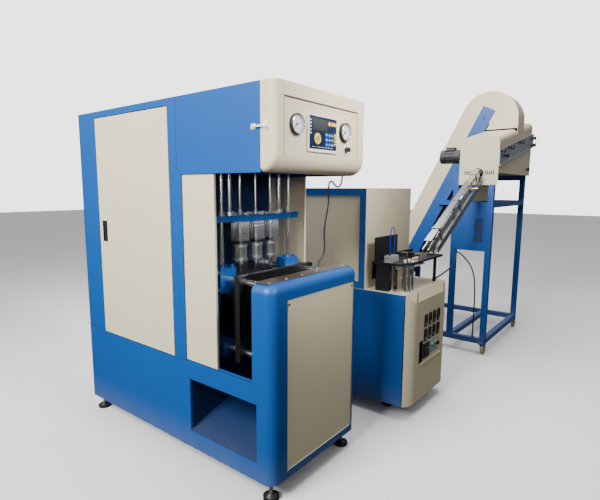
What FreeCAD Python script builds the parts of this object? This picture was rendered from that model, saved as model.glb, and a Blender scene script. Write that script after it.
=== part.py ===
# Two-step PET bottle blowing line: blow moulding machine, preform heater and preform feeder.
# Millimetres. The origin is the sole of the blowing machine's front left foot, +X runs along
# the line, +Y to the back and +Z up.  Each unit is drawn from its own corner and then placed.
import FreeCAD, Part
import math
import os

V = FreeCAD.Vector

# ---------------------------------------------------------------- driving dimensions
sheet = 3.0               # sheet metal of every cover
leg_height = 100.0        # floor to underside of the two cabinets
running = 0.3             # clearance between parts that slide
shaft_clear = 0.05        # radial clearance of a shaft in its bearing

cab_w = 745.0             # blowing machine, left to right
cab_d = 1653.0            # front of the bench to the back
cab_h = 1950.0
corner_r = 55.0           # vertical corner rounding
tube = 50.0               # square tube of the welded frame
tube_wall = 3.0
foot_inset = 60.0         # foot centre from the cabinet's corner
foot_r = 40.0
bench_h = 1067.0
bench_d = 124.0           # depth of the blue bench front
bench_nose_r = 43.0
window_sill = 583.0       # guard window, bottom
head_z = 1567.0           # guard window, top, and underside of the head
head_out = 20.0           # head stands this far in front of the bench
head_d = 82.0             # beige part of the head, front to back
head_nose_r = 78.0
head_side_r = 26.0
window_back = 607.0       # guard window, back edge
guard_w = 279.0
guard_t = 12.0
guard_x = 7.0             # guard's outer face behind the skin's outer face
guard_open_y = 371.0
door_y0, door_y1 = 708.0, 1417.0
door_z0, door_z1 = 589.0, 1909.0
door_t = 20.0
door_gap = 5.0
hinge_pin_r = 4.0
panel_x0, panel_x1 = 112.0, 698.0      # beige bench panel
panel_z0, panel_z1 = 137.0, 988.0
outlet_y0, outlet_y1 = 96.0, 585.0     # bottle outlet
outlet_z0, outlet_z1 = 190.0, 493.0
bay_back = 650.0          # partition behind the mould bay
mould_y = 445.0           # parting plane, under the blow nozzles
mould_gap = 60.0          # each mould half travels this far
mould_w, mould_h, mould_t = 355.0, 330.0, 78.0
mould_z0 = 700.0
platen_t = 34.0
pitch = 120.0             # between bottles
bottle_r, neck_r, bottle_h = 44.0, 14.0, 262.0
tie_x, tie_r = 115.0, 18.0             # tie bars from either side
tie_low, tie_high = 675.0, 1035.0
end_plate_t = 20.0
end_front_y = bench_d - 4.0
rod_x, rod_y, rod_r = 105.0, 430.0, 10.0   # vertical guide rods
lift_x, lift_r = 175.0, 13.0           # lift piston rods
cross_z0, cross_t, cross_d = 1325.0, 34.0, 150.0
blow_body, blow_body_h = 76.0, 104.0
nozzle_r, nozzle_h = 36.0, 96.0
stretch_r = 7.0
gauge_r, gauge_t = 45.0, 16.0
gauge_z = 1778.0
gauge_left_x, gauge_right_x = 141.0, 533.0
screen_x0, screen_x1, screen_z0, screen_z1 = 217.0, 466.0, 1667.0, 1841.0
key_x, key_z, key_r = 552.0, 1693.0, 11.0

heater_x = 1145.0         # from the blowing machine's left face to the heater's
heater_w, heater_back = 655.0, 1400.0
heater_h = 838.0          # deck height
heater_front = -100.0
heater_door_t = 40.0
heater_door_in = 15.0
heater_nose = 115.0       # width of the door's rounded sides
heater_foot_inset = 180.0
tunnel_y, tunnel_top = 190.0, 1500.0
tunnel_bar = 46.0
table_z, table_t = 1015.0, 14.0
table_x0, table_x1, table_y0, table_y1 = 88.0, 640.0, -92.0, 150.0
lamp_r, lamp_count = 6.0, 7
spindle_r, spindle_h = 9.0, 30.0

feeder_x = 2740.0         # from the blowing machine's left face to the feeder's
bar = 48.0                # feeder's square tube
feeder_w = 1138.0
feeder_y0, feeder_y1, feeder_back = -155.0, 198.0, 920.0
bed_z = 1638.0            # underside of the unscrambler
bed_l, bed_y0, bed_y1 = 1160.0, -180.0, 150.0
bed_front_z = 1535.0
bed_split_z = 1845.0      # body below, cover above
cover_h, cover_r = 100.0, 50.0
slope = 0.2               # rise per length of the roller bed
roller_r, roller_gap, roller_z = 30.0, 34.0, 1722.0
plate_low, plate_high, plate_l = 1697.0, 1830.0, 1230.0
motor_r, motor_l = 62.0, 190.0
belt_x0, belt_w = 560.0, 240.0
arch_y, arch_z, arch_r = 88.0, 2163.0, 267.0
belt_angle = math.radians(63.3)
belt_run = 1850.0         # from the head drum's centre down to the boot
belt_end = belt_run - 110.0                # foot drum's centre
band_low, band_high = -18.0, 112.0
drum_r, belt_t = 79.0, 5.0
spout_z = 2070.0
wheel_r, wheel_w = 42.0, 30.0
caster_trail = 26.0
chute_drop = 0.532        # fall per length
chute_l = 1090.0
chute_y, chute_z = -17.0, 1632.0
rail_gap, rail_low = 32.0, -4.0
mouth_z, mouth_r = 1640.0, 24.0        # where the preforms leave the unscrambler


# ---------------------------------------------------------------- cords, in the row's own frame
head_cable = [(620, 20, 1574), (620, 20, 1548), (609, 20, 1520), (584, 20, 1505), (557, 20, 1511),
              (537, 22, 1530), (518, 24, 1539), (502, 25, 1528), (497, 26, 1500), (503, 27, 1459),
              (503, 29, 1412), (493, 32, 1360), (481, 36, 1304), (482, 40, 1250), (494, 43, 1200),
              (497, 48, 1154), (480, 55, 1122), (462, 60, 1103), (458, 62, 1079)]
air_tube = [(1135, -25, 1083), (1135, -25, 1126), (1132, -25, 1174), (1138, -25, 1222),
            (1155, -24, 1253), (1181, -24, 1253), (1197, -25, 1222), (1201, -25, 1174),
            (1197, -25, 1126), (1197, -25, 1083)]
power_cable = [(1700, -106, 848), (1738, -106, 848), (1796, -110, 857), (1890, -108, 866),
               (2010, -96, 873), (2150, -76, 880), (2300, -44, 892), (2440, 0, 908), (2560, 46, 924),
               (2652, 74, 932), (2708, 74, 922), (2736, 44, 894), (2744, 2, 852), (2742, -40, 798),
               (2736, -70, 728), (2726, -88, 640), (2716, -96, 540), (2709, -99, 430),
               (2705, -101, 330), (2703, -100, 250), (2704, -100, 196), (2704, -100, 160)]


# ---------------------------------------------------------------- shape helpers
def block(x0, y0, z0, x1, y1, z1):
    return Part.makeBox(x1 - x0, y1 - y0, z1 - z0, V(x0, y0, z0))


def rod(start, end, radius):
    along = end - start
    return Part.makeCylinder(radius, along.Length, start, along)


def ring(start, end, outer, inner):
    return rod(start, end, outer).cut(rod(start, end, inner))


def prism(points, along):
    """A flat outline pushed along a vector."""
    return Part.Face(Part.makePolygon(points + [points[0]])).extrude(along)


def round_edges(shape, radius, test):
    """Rounds the edges whose two ends both pass the test."""
    edges = [e for e in shape.Edges if all(test(v.Point) for v in e.Vertexes)]
    return shape.makeFillet(radius, edges)


def square_tube(start, end, side, wall=tube_wall):
    """Hollow square tube, its centre line running along one axis."""
    along = end - start
    half = V(*[0 if abs(c) > 1e-6 else side / 2 for c in along])
    inner = V(*[0 if abs(c) > 1e-6 else side / 2 - wall for c in along])
    low = V(min(start.x, end.x), min(start.y, end.y), min(start.z, end.z))
    size = V(abs(along.x), abs(along.y), abs(along.z))
    outer_box = Part.makeBox(*(size + half * 2), low - half)
    return outer_box.cut(Part.makeBox(*(size + inner * 2), low - inner))


def mirrored(shape, middle_x):
    return shape.mirror(V(middle_x, 0, 0), V(1, 0, 0))


def both_sides(shape):
    return [shape, mirrored(shape, cab_w / 2)]


def cord(points, radius):
    """Round cord: straight runs joined by tangent arcs, as large as the two runs allow."""
    points = [V(*p) for p in points]
    edges = []
    last = points[0]
    radii = []
    for before, here, after in zip(points, points[1:], points[2:]):
        run_in = here - before
        run_out = after - here
        turn = run_in.getAngle(run_out)
        bend = 0.45 * min(run_in.Length, run_out.Length) / math.tan(turn / 2)
        radii.append(bend)
        back = bend * math.tan(turn / 2)
        u_in = V(run_in).normalize()
        u_out = V(run_out).normalize()
        arc_in = here - u_in * back
        arc_out = here + u_out * back
        towards = (u_out - u_in).normalize()
        middle = here + towards * (bend / math.cos(turn / 2) - bend)
        edges.append(Part.LineSegment(last, arc_in).toShape())
        edges.append(Part.Arc(arc_in, middle, arc_out).toShape())
        last = arc_out
    edges.append(Part.LineSegment(last, points[-1]).toShape())
    path = Part.Wire(edges)
    section = Part.Wire(Part.makeCircle(radius, points[0], points[1] - points[0]))
    tube_solid = path.makePipeShell([section], True, False)
    expected = math.pi * radius ** 2 * path.Length
    print("  cord %.0f mm long, radii %s, volume ratio %.4f" % (
        path.Length, [round(r) for r in radii], tube_solid.Volume / expected))
    return tube_solid


def save(name, shapes, place):
    body = Part.makeCompound(shapes)
    body.translate(place)
    body.exportStep("parts/%s.step" % name)
    print(name, len(body.Solids), "solids", "valid" if body.isValid() else "NOT VALID")


# ---------------------------------------------------------------- blowing machine
def sheet_profile(y0, back, offset):
    """Plan outline of a side sheet's outer or inner line, with its rounded back corner."""
    r = corner_r - offset
    centre = V(corner_r, back - corner_r, 0)
    middle = centre + V(-r * math.sqrt(0.5), r * math.sqrt(0.5), 0)
    return V(offset, y0, 0), V(offset, centre.y, 0), middle, V(corner_r, back - offset, 0)


def side_skin(with_door, with_outlet):
    lip = 40.0
    o1, o2, om, o3 = sheet_profile(head_d - head_out, cab_d, 0)
    i1, i2, im, i3 = sheet_profile(head_d - head_out, cab_d, sheet)
    o4, i4 = o3 + V(lip, 0, 0), i3 + V(lip, 0, 0)
    edges = [Part.LineSegment(o1, o2), Part.Arc(o2, om, o3), Part.LineSegment(o3, o4),
             Part.LineSegment(o4, i4), Part.LineSegment(i4, i3), Part.Arc(i3, im, i2),
             Part.LineSegment(i2, i1), Part.LineSegment(i1, o1)]
    outline = Part.Wire([e.toShape() for e in edges])
    skin = Part.Face(outline).extrude(V(0, 0, cab_h - leg_height))
    skin.translate(V(0, 0, leg_height))
    cuts = [block(-1, 0, 0, sheet + 1, bench_d, bench_h),
            block(-1, 0, window_sill, sheet + 1, window_back, head_z)]
    if with_door:
        cuts.append(block(-1, door_y0 - door_gap, door_z0 - door_gap,
                          sheet + 1, door_y1 + door_gap, door_z1 + door_gap))
    if with_outlet:
        cuts.append(block(-1, 0, outlet_z0, sheet + 1, outlet_y1, outlet_z1))
    return skin.cut(Part.makeCompound(cuts))


def nose_box(inset, back, front):
    """Bench front: box with rounded upright corners and a rounded top front edge."""
    box = block(inset, front + inset, leg_height, cab_w - inset, back, bench_h - inset)
    at_front = lambda p: p.y < front + inset + 0.01
    upright = [e for e in box.Edges
               if at_front(e.Vertexes[0].Point) and at_front(e.Vertexes[1].Point)
               and abs(e.Vertexes[0].Point.z - e.Vertexes[1].Point.z) > 1]
    box = box.makeFillet(corner_r - inset, upright)
    top = [e for e in box.Edges
           if all(v.Point.z > bench_h - inset - 0.01 for v in e.Vertexes)
           and e.BoundBox.YMax < back - 0.01]
    sides = [e for e in box.Edges
             if all(v.Point.z > bench_h - inset - 0.01 for v in e.Vertexes)
             and e.BoundBox.XLength < 0.01 and e.BoundBox.YLength > 1]
    return box.makeFillet(bench_nose_r - inset, top + sides)


def bench_cover():
    outer = nose_box(0, bench_d, 0)
    inner = nose_box(sheet, bench_d + 1, 0)
    floor_cut = block(sheet, corner_r, leg_height - 1, cab_w - sheet, bench_d + 1, leg_height + sheet)
    shell = outer.cut(inner).cut(floor_cut)
    window = block(panel_x0, -1, panel_z0, panel_x1, sheet + 1, panel_z1)
    outlet = block(-1, outlet_y0, outlet_z0, sheet + 1, bench_d + 1, outlet_z1)
    return shell.cut(window).cut(outlet)


def bench_panel():
    """Beige panel set back in its window on a folded rim, with two brass screws."""
    depth = 6.0
    rim = 14.0
    front = depth
    right = cab_w - corner_r
    face = block(panel_x0 - rim, front, panel_z0 - rim, panel_x1 + rim / 2, front + sheet, panel_z1 + rim)
    frame = block(panel_x0 - rim, sheet, panel_z0 - rim, right, front, panel_z1 + rim)
    frame = frame.cut(block(panel_x0, 0, panel_z0, right + 1, front + 1, panel_z1))
    screws = []
    for x in (panel_x0 + 16, panel_x1 - 16):
        at = V(x, front, panel_z1 - 25)
        screws.append(rod(at, at + V(0, -3, 0), 7.0))
    return [face, frame] + screws


def bench_top():
    """Dark wear strip on the bench, with the grommet where the cable goes in."""
    top = bench_h + 2
    end = V(head_cable[-1][0] + foot_inset, head_cable[-1][1] + foot_inset, top)
    return [block(24, 46, bench_h, cab_w - 24, bench_d + 12, top),
            ring(end, end + V(0, 0, 10), 10, 4.5)]


def welded_frame():
    half = tube / 2
    side = guard_x + guard_t + 6 + half        # tube centre, clear of the sliding guard
    parts = []
    back_y = cab_d - corner_r + 5
    front_y = bench_d - 60.0
    low, high = leg_height + half, cab_h - sheet - half
    cap = 6.0
    for x in (side, cab_w - side):
        for y in (front_y, back_y):
            parts.append(block(x - half, y - half, leg_height, x + half, y + half, leg_height + cap))
        parts.append(square_tube(V(x, back_y, leg_height + cap), V(x, back_y, cab_h - sheet), tube))
        parts.append(square_tube(V(x, bay_back + 28, leg_height), V(x, bay_back + 28, cab_h - sheet), tube))
        parts.append(square_tube(V(x, front_y, leg_height + cap), V(x, front_y, bench_h - 10), tube))
        parts.append(square_tube(V(x, front_y + half, low), V(x, bay_back + 3, low), tube))
        parts.append(square_tube(V(x, bay_back + 53, low), V(x, back_y - half, low), tube))
        parts.append(square_tube(V(x, bay_back + 53, high), V(x, back_y - half, high), tube))
        parts.append(square_tube(V(x, head_d - head_out, high), V(x, bay_back + 3, high), tube))
        parts.append(square_tube(V(x, head_d - head_out, head_z + 50), V(x, bay_back, head_z + 50), tube))
        parts.append(square_tube(V(x, front_y + half, 530), V(x, bay_back, 530), tube))
    inner0, inner1 = side + half, cab_w - side - half
    for y, z in ((front_y, low), (front_y, bench_h - 35), (bay_back + 28, low), (back_y, low),
                 (back_y, high), (bay_back + 28, high), (bay_back + 28, head_z + 50),
                 (head_d - head_out + half, high)):
        parts.append(square_tube(V(inner0, y, z), V(inner1, y, z), tube))
    # partition behind the mould bay and the header plate above it
    partition = block(side - half, bay_back, leg_height + tube, cab_w - side + half, bay_back + sheet,
                      head_z + 25)
    piston_z = mould_z0 + mould_h / 2
    parts.append(partition.cut(rod(V(cab_w / 2, bay_back - 1, piston_z),
                                   V(cab_w / 2, bay_back + 9, piston_z), 24)))
    # the header is two bars with cross plates between the rods that pass it
    x0, x1 = side - half, cab_w - side + half
    low, high = head_z + 15, head_z + 25
    slot = lift_r + 3
    parts.append(block(x0, head_d - head_out, low, x1, mould_y - slot, high))
    parts.append(block(x0, mould_y + slot, low, x1, bay_back, high))
    passing = sorted([lift_x, cab_w - lift_x] + bottle_places())
    starts = [x0] + [x + slot for x in passing]
    ends = [x - slot for x in passing] + [x1]
    for start, end in zip(starts, ends):
        parts.append(block(start, mould_y - slot, low, end, mould_y + slot, high))
    gland = V(head_cable[0][0] + foot_inset, head_cable[0][1] + foot_inset, head_z + 15)
    parts.append(ring(gland, gland - V(0, 0, 8), 10, 4.5))
    # sliding guard tracks: a floor with two lips below, the same hanging above
    for z, way in ((window_sill, 1), (head_z + 11, -1)):
        t0, t1 = sorted((z, z - 8 * way))
        l0, l1 = sorted((z, z + 11 * way))
        for x0, x1, z0, z1 in ((sheet, guard_x + guard_t + 4, t0, t1),
                               (sheet, guard_x - 1, l0, l1),
                               (guard_x + guard_t + 1, guard_x + guard_t + 4, l0, l1)):
            strip = block(x0, bench_d, z0, x1, bay_back + 30, z1)
            parts += both_sides(strip)
    # brackets that carry the side door's hinge pins
    for z, way in ((door_z0, -1), (door_z1, 1)):
        base = z + way * 2
        b0, b1 = sorted((base, base + way * 8))
        parts.append(block(sheet, door_y0 - 20, b0, side - half, door_y0 + 22, b1))
        at = V(door_t / 2, door_y0 + 8, z - way * (sheet + 4))
        parts.append(rod(at, V(at.x, at.y, base), hinge_pin_r))
    return parts


def bottle_places():
    return [cab_w / 2 + k * pitch for k in (-1, 0, 1)]


def side_door():
    tray = block(0, door_y0, door_z0, door_t, door_y1, door_z1)
    hollow = block(sheet, door_y0 + sheet, door_z0 + sheet, door_t + 1, door_y1 - sheet, door_z1 - sheet)
    tray = tray.cut(hollow)
    pin = rod(V(door_t / 2, door_y0 + 8, 0), V(door_t / 2, door_y0 + 8, cab_h), hinge_pin_r + shaft_clear)
    tray = tray.cut(pin)
    hz0, hz1, hy0, hy1 = 1172.0, 1298.0, 1334.0, 1384.0
    tray = tray.cut(block(-1, hy0, hz0, sheet + 1, hy1, hz1))
    cup = block(0, hy0, hz0, 16, hy1, hz1)
    cup = cup.cut(block(-1, hy0 + 3, hz0 + 3, 13, hy1 - 3, hz1 - 3))
    grip = block(1, hy0 + 14, hz0 + 3, 6, hy0 + 36, hz1 - 3)
    latch = block(13 + sheet, hy0 + 15, hz0 + 50, door_t + 14, hy1 - 15, hz0 + 76)
    tongue = block(door_t + 4, hy1 - 15, hz0 + 54, door_t + 9, door_y1, hz0 + 72)
    return [tray, cup, grip, latch, tongue]


def guard(left):
    """Folded sliding guard panel with a finger pull."""
    z0, z1 = window_sill + running, head_z + 11 - running
    panel = block(guard_x, guard_open_y, z0, guard_x + guard_t, guard_open_y + guard_w, z1)
    panel = panel.cut(block(guard_x + 2, guard_open_y + 2, z0 + 20,
                            guard_x + guard_t + 1, guard_open_y + guard_w - 2, z1 - 20))
    return panel if left else mirrored(panel, cab_w / 2)


def head_box(inset, back, front):
    box = block(inset, front + inset, head_z + inset, cab_w - inset, back, cab_h - inset)
    front_y = front + inset
    low = [e for e in box.Edges
           if all(abs(v.Point.y - front_y) < 0.01 and abs(v.Point.z - head_z - inset) < 0.01
                  for v in e.Vertexes)]
    box = box.makeFillet(head_nose_r - inset, low)
    rest = [e for e in box.Edges
            if e.BoundBox.YMin < front_y + 0.01 and e.BoundBox.YLength < 0.01]
    return box.makeFillet(head_side_r - inset, [e for e in rest if e.BoundBox.ZLength > 100])


def head_cover():
    outer = head_box(0, head_d - head_out, -head_out)
    inner = head_box(sheet, head_d - head_out + 1, -head_out)
    shell = outer.cut(inner)
    groove = block(68, -head_out - 1, 1880, 650, -head_out + 1.6, 1888)
    recess = block(88, -head_out - 1, 1655, 632, -head_out + 0.8, 1868)
    window = block(screen_x0 + 12, -head_out - 2, screen_z0 + 12, screen_x1 - 12, 0, screen_z1 - 12)
    key_hole = rod(V(key_x, -head_out - 2, key_z), V(key_x, 0, key_z), key_r)
    sockets = [rod(V(x, -head_out - 2, gauge_z), V(x, 0, gauge_z), gauge_r - 7.8)
               for x in (gauge_left_x, gauge_right_x)]
    return shell.cut(Part.makeCompound([groove, recess, window, key_hole] + sockets))


def gauge(x):
    """Dial gauge: a case with a bezel and a pin for the needle."""
    face = -head_out + 0.8
    case = rod(V(x, face + sheet + 30, gauge_z), V(x, face, gauge_z), gauge_r - 8)
    flange = rod(V(x, face, gauge_z), V(x, face - gauge_t, gauge_z), gauge_r)
    dial = rod(V(x, face - 5, gauge_z), V(x, face - gauge_t - 1, gauge_z), gauge_r - 5)
    pin = rod(V(x, face - 5, gauge_z), V(x, face - gauge_t + 4, gauge_z), 1.5)
    return [case, flange.cut(dial), pin]


def needle(x):
    face = -head_out + 0.8 - 7
    hub = rod(V(x, face, gauge_z), V(x, face - 3, gauge_z), 6.0)
    pointer = prism([V(x - 22, face, gauge_z - 24), V(x + 2.5, face, gauge_z - 2.5),
                     V(x + 7, face, gauge_z + 9), V(x - 2.5, face, gauge_z + 2.5)], V(0, -1.5, 0))
    hole = rod(V(x, face + 2, gauge_z), V(x, face - 9, gauge_z), 1.5 + shaft_clear)
    return hub.fuse(pointer).cut(hole)


def head_instruments():
    parts = gauge(gauge_left_x) + gauge(gauge_right_x)
    face = -head_out + 0.8
    bezel = block(screen_x0, face - 9, screen_z0, screen_x1, face, screen_z1)
    upright = [e for e in bezel.Edges if e.BoundBox.YLength > 5]
    bezel = bezel.makeFillet(9, upright)
    window = block(screen_x0 + 13, face - 10, screen_z0 + 13, screen_x1 - 13, face + 1, screen_z1 - 13)
    parts.append(bezel.cut(window))
    parts.append(block(screen_x0 + 13, face - 5, screen_z0 + 13, screen_x1 - 13, face + 24, screen_z1 - 13))
    barrel = ring(V(key_x, face + 22, key_z), V(key_x, face - 5, key_z), key_r, 6.0)
    collar = ring(V(key_x, face, key_z), V(key_x, face - 5, key_z), key_r + 5, key_r)
    parts += [barrel, collar]
    return parts


def switch_key():
    face = -head_out + 0.8
    plug = rod(V(key_x, face + 16, key_z), V(key_x, face - 8, key_z), 6.0 - shaft_clear)
    bow = rod(V(key_x - 2, face - 18, key_z), V(key_x + 2, face - 18, key_z), 12.0)
    return plug.fuse(bow).fuse(block(key_x - 2, face - 18, key_z - 5, key_x + 2, face - 6, key_z + 5))


def crosshead():
    """Blue crosshead, guided by the two rods and lifted by the two piston rods."""
    y0 = mould_y - 25
    bar_solid = block(48, y0, cross_z0, cab_w - 22, y0 + cross_d, cross_z0 + cross_t)
    holes = [rod(V(x, rod_y, 0), V(x, rod_y, cab_h), rod_r + shaft_clear)
             for x in (rod_x, cab_w - rod_x)]
    holes += [rod(V(x, mould_y, 0), V(x, mould_y, cab_h), stretch_r + 0.5) for x in bottle_places()]
    return bar_solid.cut(Part.makeCompound(holes))


def blow_heads():
    parts = []
    z = cross_z0
    half = blow_body / 2
    for x in bottle_places():
        body = block(x - half, mould_y - half, z - blow_body_h, x + half, mould_y + half, z)
        upright = [e for e in body.Edges if e.BoundBox.ZLength > 50]
        body = body.makeFillet(9, upright)
        neck = rod(V(x, mould_y, z - blow_body_h - 16), V(x, mould_y, z - blow_body_h), 22)
        low = z - blow_body_h - 16 - nozzle_h
        nozzle = rod(V(x, mould_y, low), V(x, mould_y, low + nozzle_h), nozzle_r)
        groove = ring(V(x, mould_y, low + 24), V(x, mould_y, low + 28), nozzle_r + 1, nozzle_r - 2)
        tip = rod(V(x, mould_y, low - 14), V(x, mould_y, low), 13)
        stack = body.fuse(neck).fuse(nozzle).fuse(tip).cut(groove)
        parts.append(stack.cut(rod(V(x, mould_y, 0), V(x, mould_y, cab_h), stretch_r + 0.5)))
    for x in (cab_w / 2 - pitch / 2, cab_w / 2 + pitch / 2):
        y = mould_y + 88
        body = block(x - 30, y - 30, z - blow_body_h, x + 30, y + 30, z)
        parts.append(body.makeFillet(8, [e for e in body.Edges if e.BoundBox.ZLength > 50]))
    top = cross_z0 + cross_t
    for x in (lift_x, cab_w - lift_x):
        parts.append(rod(V(x, mould_y, top), V(x, mould_y, cab_h - 190), lift_r))
        parts.append(ring(V(x, mould_y, top), V(x, mould_y, top + 16), lift_r + 8, lift_r))
    for x in (rod_x, cab_w - rod_x):
        parts.append(ring(V(x, rod_y, top), V(x, rod_y, top + 22), rod_r + 8, rod_r + shaft_clear))
    for x in bottle_places():
        parts.append(ring(V(x, mould_y, top), V(x, mould_y, top + 26), stretch_r + 7, stretch_r + 0.5))
        parts.append(rod(V(x + 38, mould_y - 8, top), V(x + 38, mould_y - 8, top + 14), 6))
    return parts


def stretch_rods():
    low = cross_z0 - blow_body_h - 16 - nozzle_h - 62
    high = cab_h - 80
    rods = [rod(V(x, mould_y, low), V(x, mould_y, high), stretch_r) for x in bottle_places()]
    side = lift_x + 40
    carrier = block(side, mould_y - 22, high, cab_w - side, mould_y + 22, high + 16)
    return rods + [carrier]


def lift_cylinders():
    """Two pneumatic cylinders above the header that raise the crosshead."""
    parts = []
    for x in (lift_x, cab_w - lift_x):
        parts.append(ring(V(x, mould_y, head_z + 25), V(x, mould_y, cab_h - 120), 32, lift_r + shaft_clear))
    return parts


def guide_bars():
    parts = []
    for x in (tie_x, cab_w - tie_x):
        for z in (tie_low, tie_high):
            parts.append(rod(V(x, end_front_y, z), V(x, bay_back - end_plate_t, z), tie_r))
    for x in (rod_x, cab_w - rod_x):
        parts.append(rod(V(x, rod_y, 1095), V(x, rod_y, head_z + 15), rod_r))
    return parts


def tie_blocks():
    y0, y1 = mould_y - 50, mould_y + 20
    body = block(60, y0, 970, 170, y1, 1095)
    body = body.makeFillet(6, [e for e in body.Edges if e.BoundBox.YLength > 50])
    body = body.cut(rod(V(tie_x, 0, tie_high), V(tie_x, 900, tie_high), tie_r))
    lugs = [block(78, y0 + 8, 1095, 92, y0 + 18, 1107), block(150, y0 + 8, 1095, 162, y0 + 30, 1110)]
    low = block(80, y0, 640, 150, y1, 710).cut(rod(V(tie_x, 0, tie_low), V(tie_x, 900, tie_low), tie_r))
    web = block(60, y0 + 20, 710, 72, y1 - 20, 970)
    parts = []
    for solid in [body, low, web.fuse(block(60, y0 + 20, 690, 80, y1 - 20, 710))] + lugs:
        parts += both_sides(solid)
    return parts


def mould(front):
    """Mould half with its platen and the clamp piston rod; front closes towards +Y."""
    way = -1 if front else 1
    face = mould_y + way * mould_gap
    mid = face + way * mould_t
    back = mid + way * platen_t
    x0 = (cab_w - mould_w) / 2
    f0, f1 = sorted((face, mid))
    p0, p1 = sorted((mid, back))
    half = block(x0, f0, mould_z0, x0 + mould_w, f1, mould_z0 + mould_h)
    for x in bottle_places():
        z = mould_z0 + 22
        profile = [V(0, 0, z), V(bottle_r - 8, 0, z), V(bottle_r, 0, z + 10),
                   V(bottle_r, 0, z + bottle_h - 60), V(neck_r, 0, z + bottle_h),
                   V(neck_r, 0, mould_z0 + mould_h + 1), V(0, 0, mould_z0 + mould_h + 1)]
        bottle = Part.Face(Part.makePolygon(profile + [profile[0]])).revolve(V(0, 0, 0), V(0, 0, 1), 360)
        bottle.translate(V(x, face, 0))
        half = half.cut(bottle)
    platen = block(72, p0, tie_low - 45, cab_w - 72, p1, mould_z0 + mould_h + 40)
    for x in (tie_x, cab_w - tie_x):
        for z in (tie_low, tie_high):
            platen = platen.cut(rod(V(x, 0, z), V(x, 900, z), tie_r + running))
    z = mould_z0 + mould_h / 2
    far = 36.0 if front else bay_back + 110
    piston = rod(V(cab_w / 2, back, z), V(cab_w / 2, far, z), 20)
    return [half, platen, piston]


def clamp_unit():
    """Steel end plates that hold the tie bars, and the clamp cylinders behind them."""
    z = mould_z0 + mould_h / 2
    parts = []
    for y0, y1 in ((end_front_y - end_plate_t, end_front_y), (bay_back - end_plate_t, bay_back)):
        plate = block(52, y0, 590, cab_w - 52, y1, bench_h - 8)
        parts.append(plate.cut(rod(V(cab_w / 2, 0, z), V(cab_w / 2, 900, z), 24)))
    front = ring(V(cab_w / 2, 30, z), V(cab_w / 2, end_front_y - end_plate_t, z), 75, 24)
    parts.append(front)
    back_y0, back_y1 = bay_back + sheet, bay_back + 190
    parts.append(ring(V(cab_w / 2, back_y0, z), V(cab_w / 2, back_y1, z), 75, 24))
    return parts


def outlet_tray():
    y0, y1 = outlet_y0 + 2, outlet_y1 - 2
    low, high, far = outlet_z0 + 6, outlet_z0 + 190, 560.0
    floor = prism([V(sheet, y0, low), V(far, y0, high), V(far, y0, high + sheet),
                   V(sheet, y0, low + sheet)], V(0, y1 - y0, 0))
    cheek = prism([V(sheet, y0, low), V(sheet, y0, outlet_z1), V(far, y0, outlet_z1 - 30),
                   V(far, y0, high)], V(0, -2, 0))
    other = cheek.copy()
    other.translate(V(0, y1 - y0 + 2, 0))
    back = block(far, y0 - 2, high, far + 2, y1 + 2, outlet_z1 - 30)
    return [floor, cheek, other, back]


def foot(x, y, under):
    pad = rod(V(x, y, 0), V(x, y, 16), foot_r)
    dome = Part.makeCone(foot_r - 8, 16, 14, V(x, y, 16))
    stem = rod(V(x, y, 30), V(x, y, under), 9)
    nut = rod(V(x, y, under - 12), V(x, y, under - 2), 15).cut(stem)
    return [pad.fuse(dome).fuse(stem), nut]


def electrical_plate():
    """Back plate in the control bay with its modules, facing the side door."""
    x0 = 420.0
    plate = block(x0, 860, 700, x0 + sheet, 1390, 1800)
    parts = [plate]
    for z, width, count in ((1620, 90, 5), (1400, 110, 4), (1180, 60, 7), (960, 130, 3)):
        parts.append(block(x0 - 8, 875, z + 30, x0, 1380, z + 65))
        for k in range(count):
            y = 885 + k * (width + 6)
            parts.append(block(x0 - 70, y, z, x0 - 8, y + width, z + 96))
    for y in (870, 1360):
        parts.append(block(x0 + sheet, y, 720, cab_w - sheet, y + 25, 745))
        parts.append(block(x0 + sheet, y, 1760, cab_w - sheet, y + 25, 1785))
    return parts


def back_and_roof():
    inset = corner_r + 40.0
    back = block(inset, cab_d - 2 * sheet - 0.5, leg_height,
                 cab_w - inset, cab_d - sheet - 0.5, cab_h - sheet)
    strip = [block(inset - 12, cab_d - sheet - sheet, leg_height, inset, cab_d - sheet, cab_h - sheet),
             block(cab_w - inset, cab_d - sheet - sheet, leg_height, cab_w - inset + 12, cab_d - sheet,
                   cab_h - sheet)]
    roof = block(sheet, head_d - head_out, cab_h - sheet, cab_w - sheet, cab_d - corner_r, cab_h)
    tail = block(corner_r, cab_d - corner_r, cab_h - sheet, cab_w - corner_r, cab_d - sheet, cab_h)
    return [back] + strip + [roof.fuse(tail)]


def blowing_machine(place):
    print("blowing machine")
    save("cabinet_frame", welded_frame(), place)
    save("side_skins", [side_skin(True, True), mirrored(side_skin(False, False), cab_w / 2)], place)
    save("back_and_roof", back_and_roof(), place)
    save("side_door", side_door(), place)
    save("left_guard", [guard(True)], place)
    save("right_guard", [guard(False)], place)
    save("head_cover", [head_cover()], place)
    save("head_instruments", head_instruments(), place)
    save("left_needle", [needle(gauge_left_x)], place)
    save("right_needle", [needle(gauge_right_x)], place)
    save("switch_key", [switch_key()], place)
    save("bench_cover", [bench_cover()], place)
    save("bench_panel", bench_panel(), place)
    save("bench_top", bench_top(), place)
    save("outlet_tray", outlet_tray(), place)
    save("crosshead", [crosshead()], place)
    save("blow_heads", blow_heads(), place)
    save("stretch_rods", stretch_rods(), place)
    save("guide_bars", guide_bars(), place)
    save("tie_blocks", tie_blocks(), place)
    save("front_mould", mould(True), place)
    save("rear_mould", mould(False), place)
    save("clamp_unit", clamp_unit() + lift_cylinders(), place)
    save("electrical_plate", electrical_plate(), place)


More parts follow.
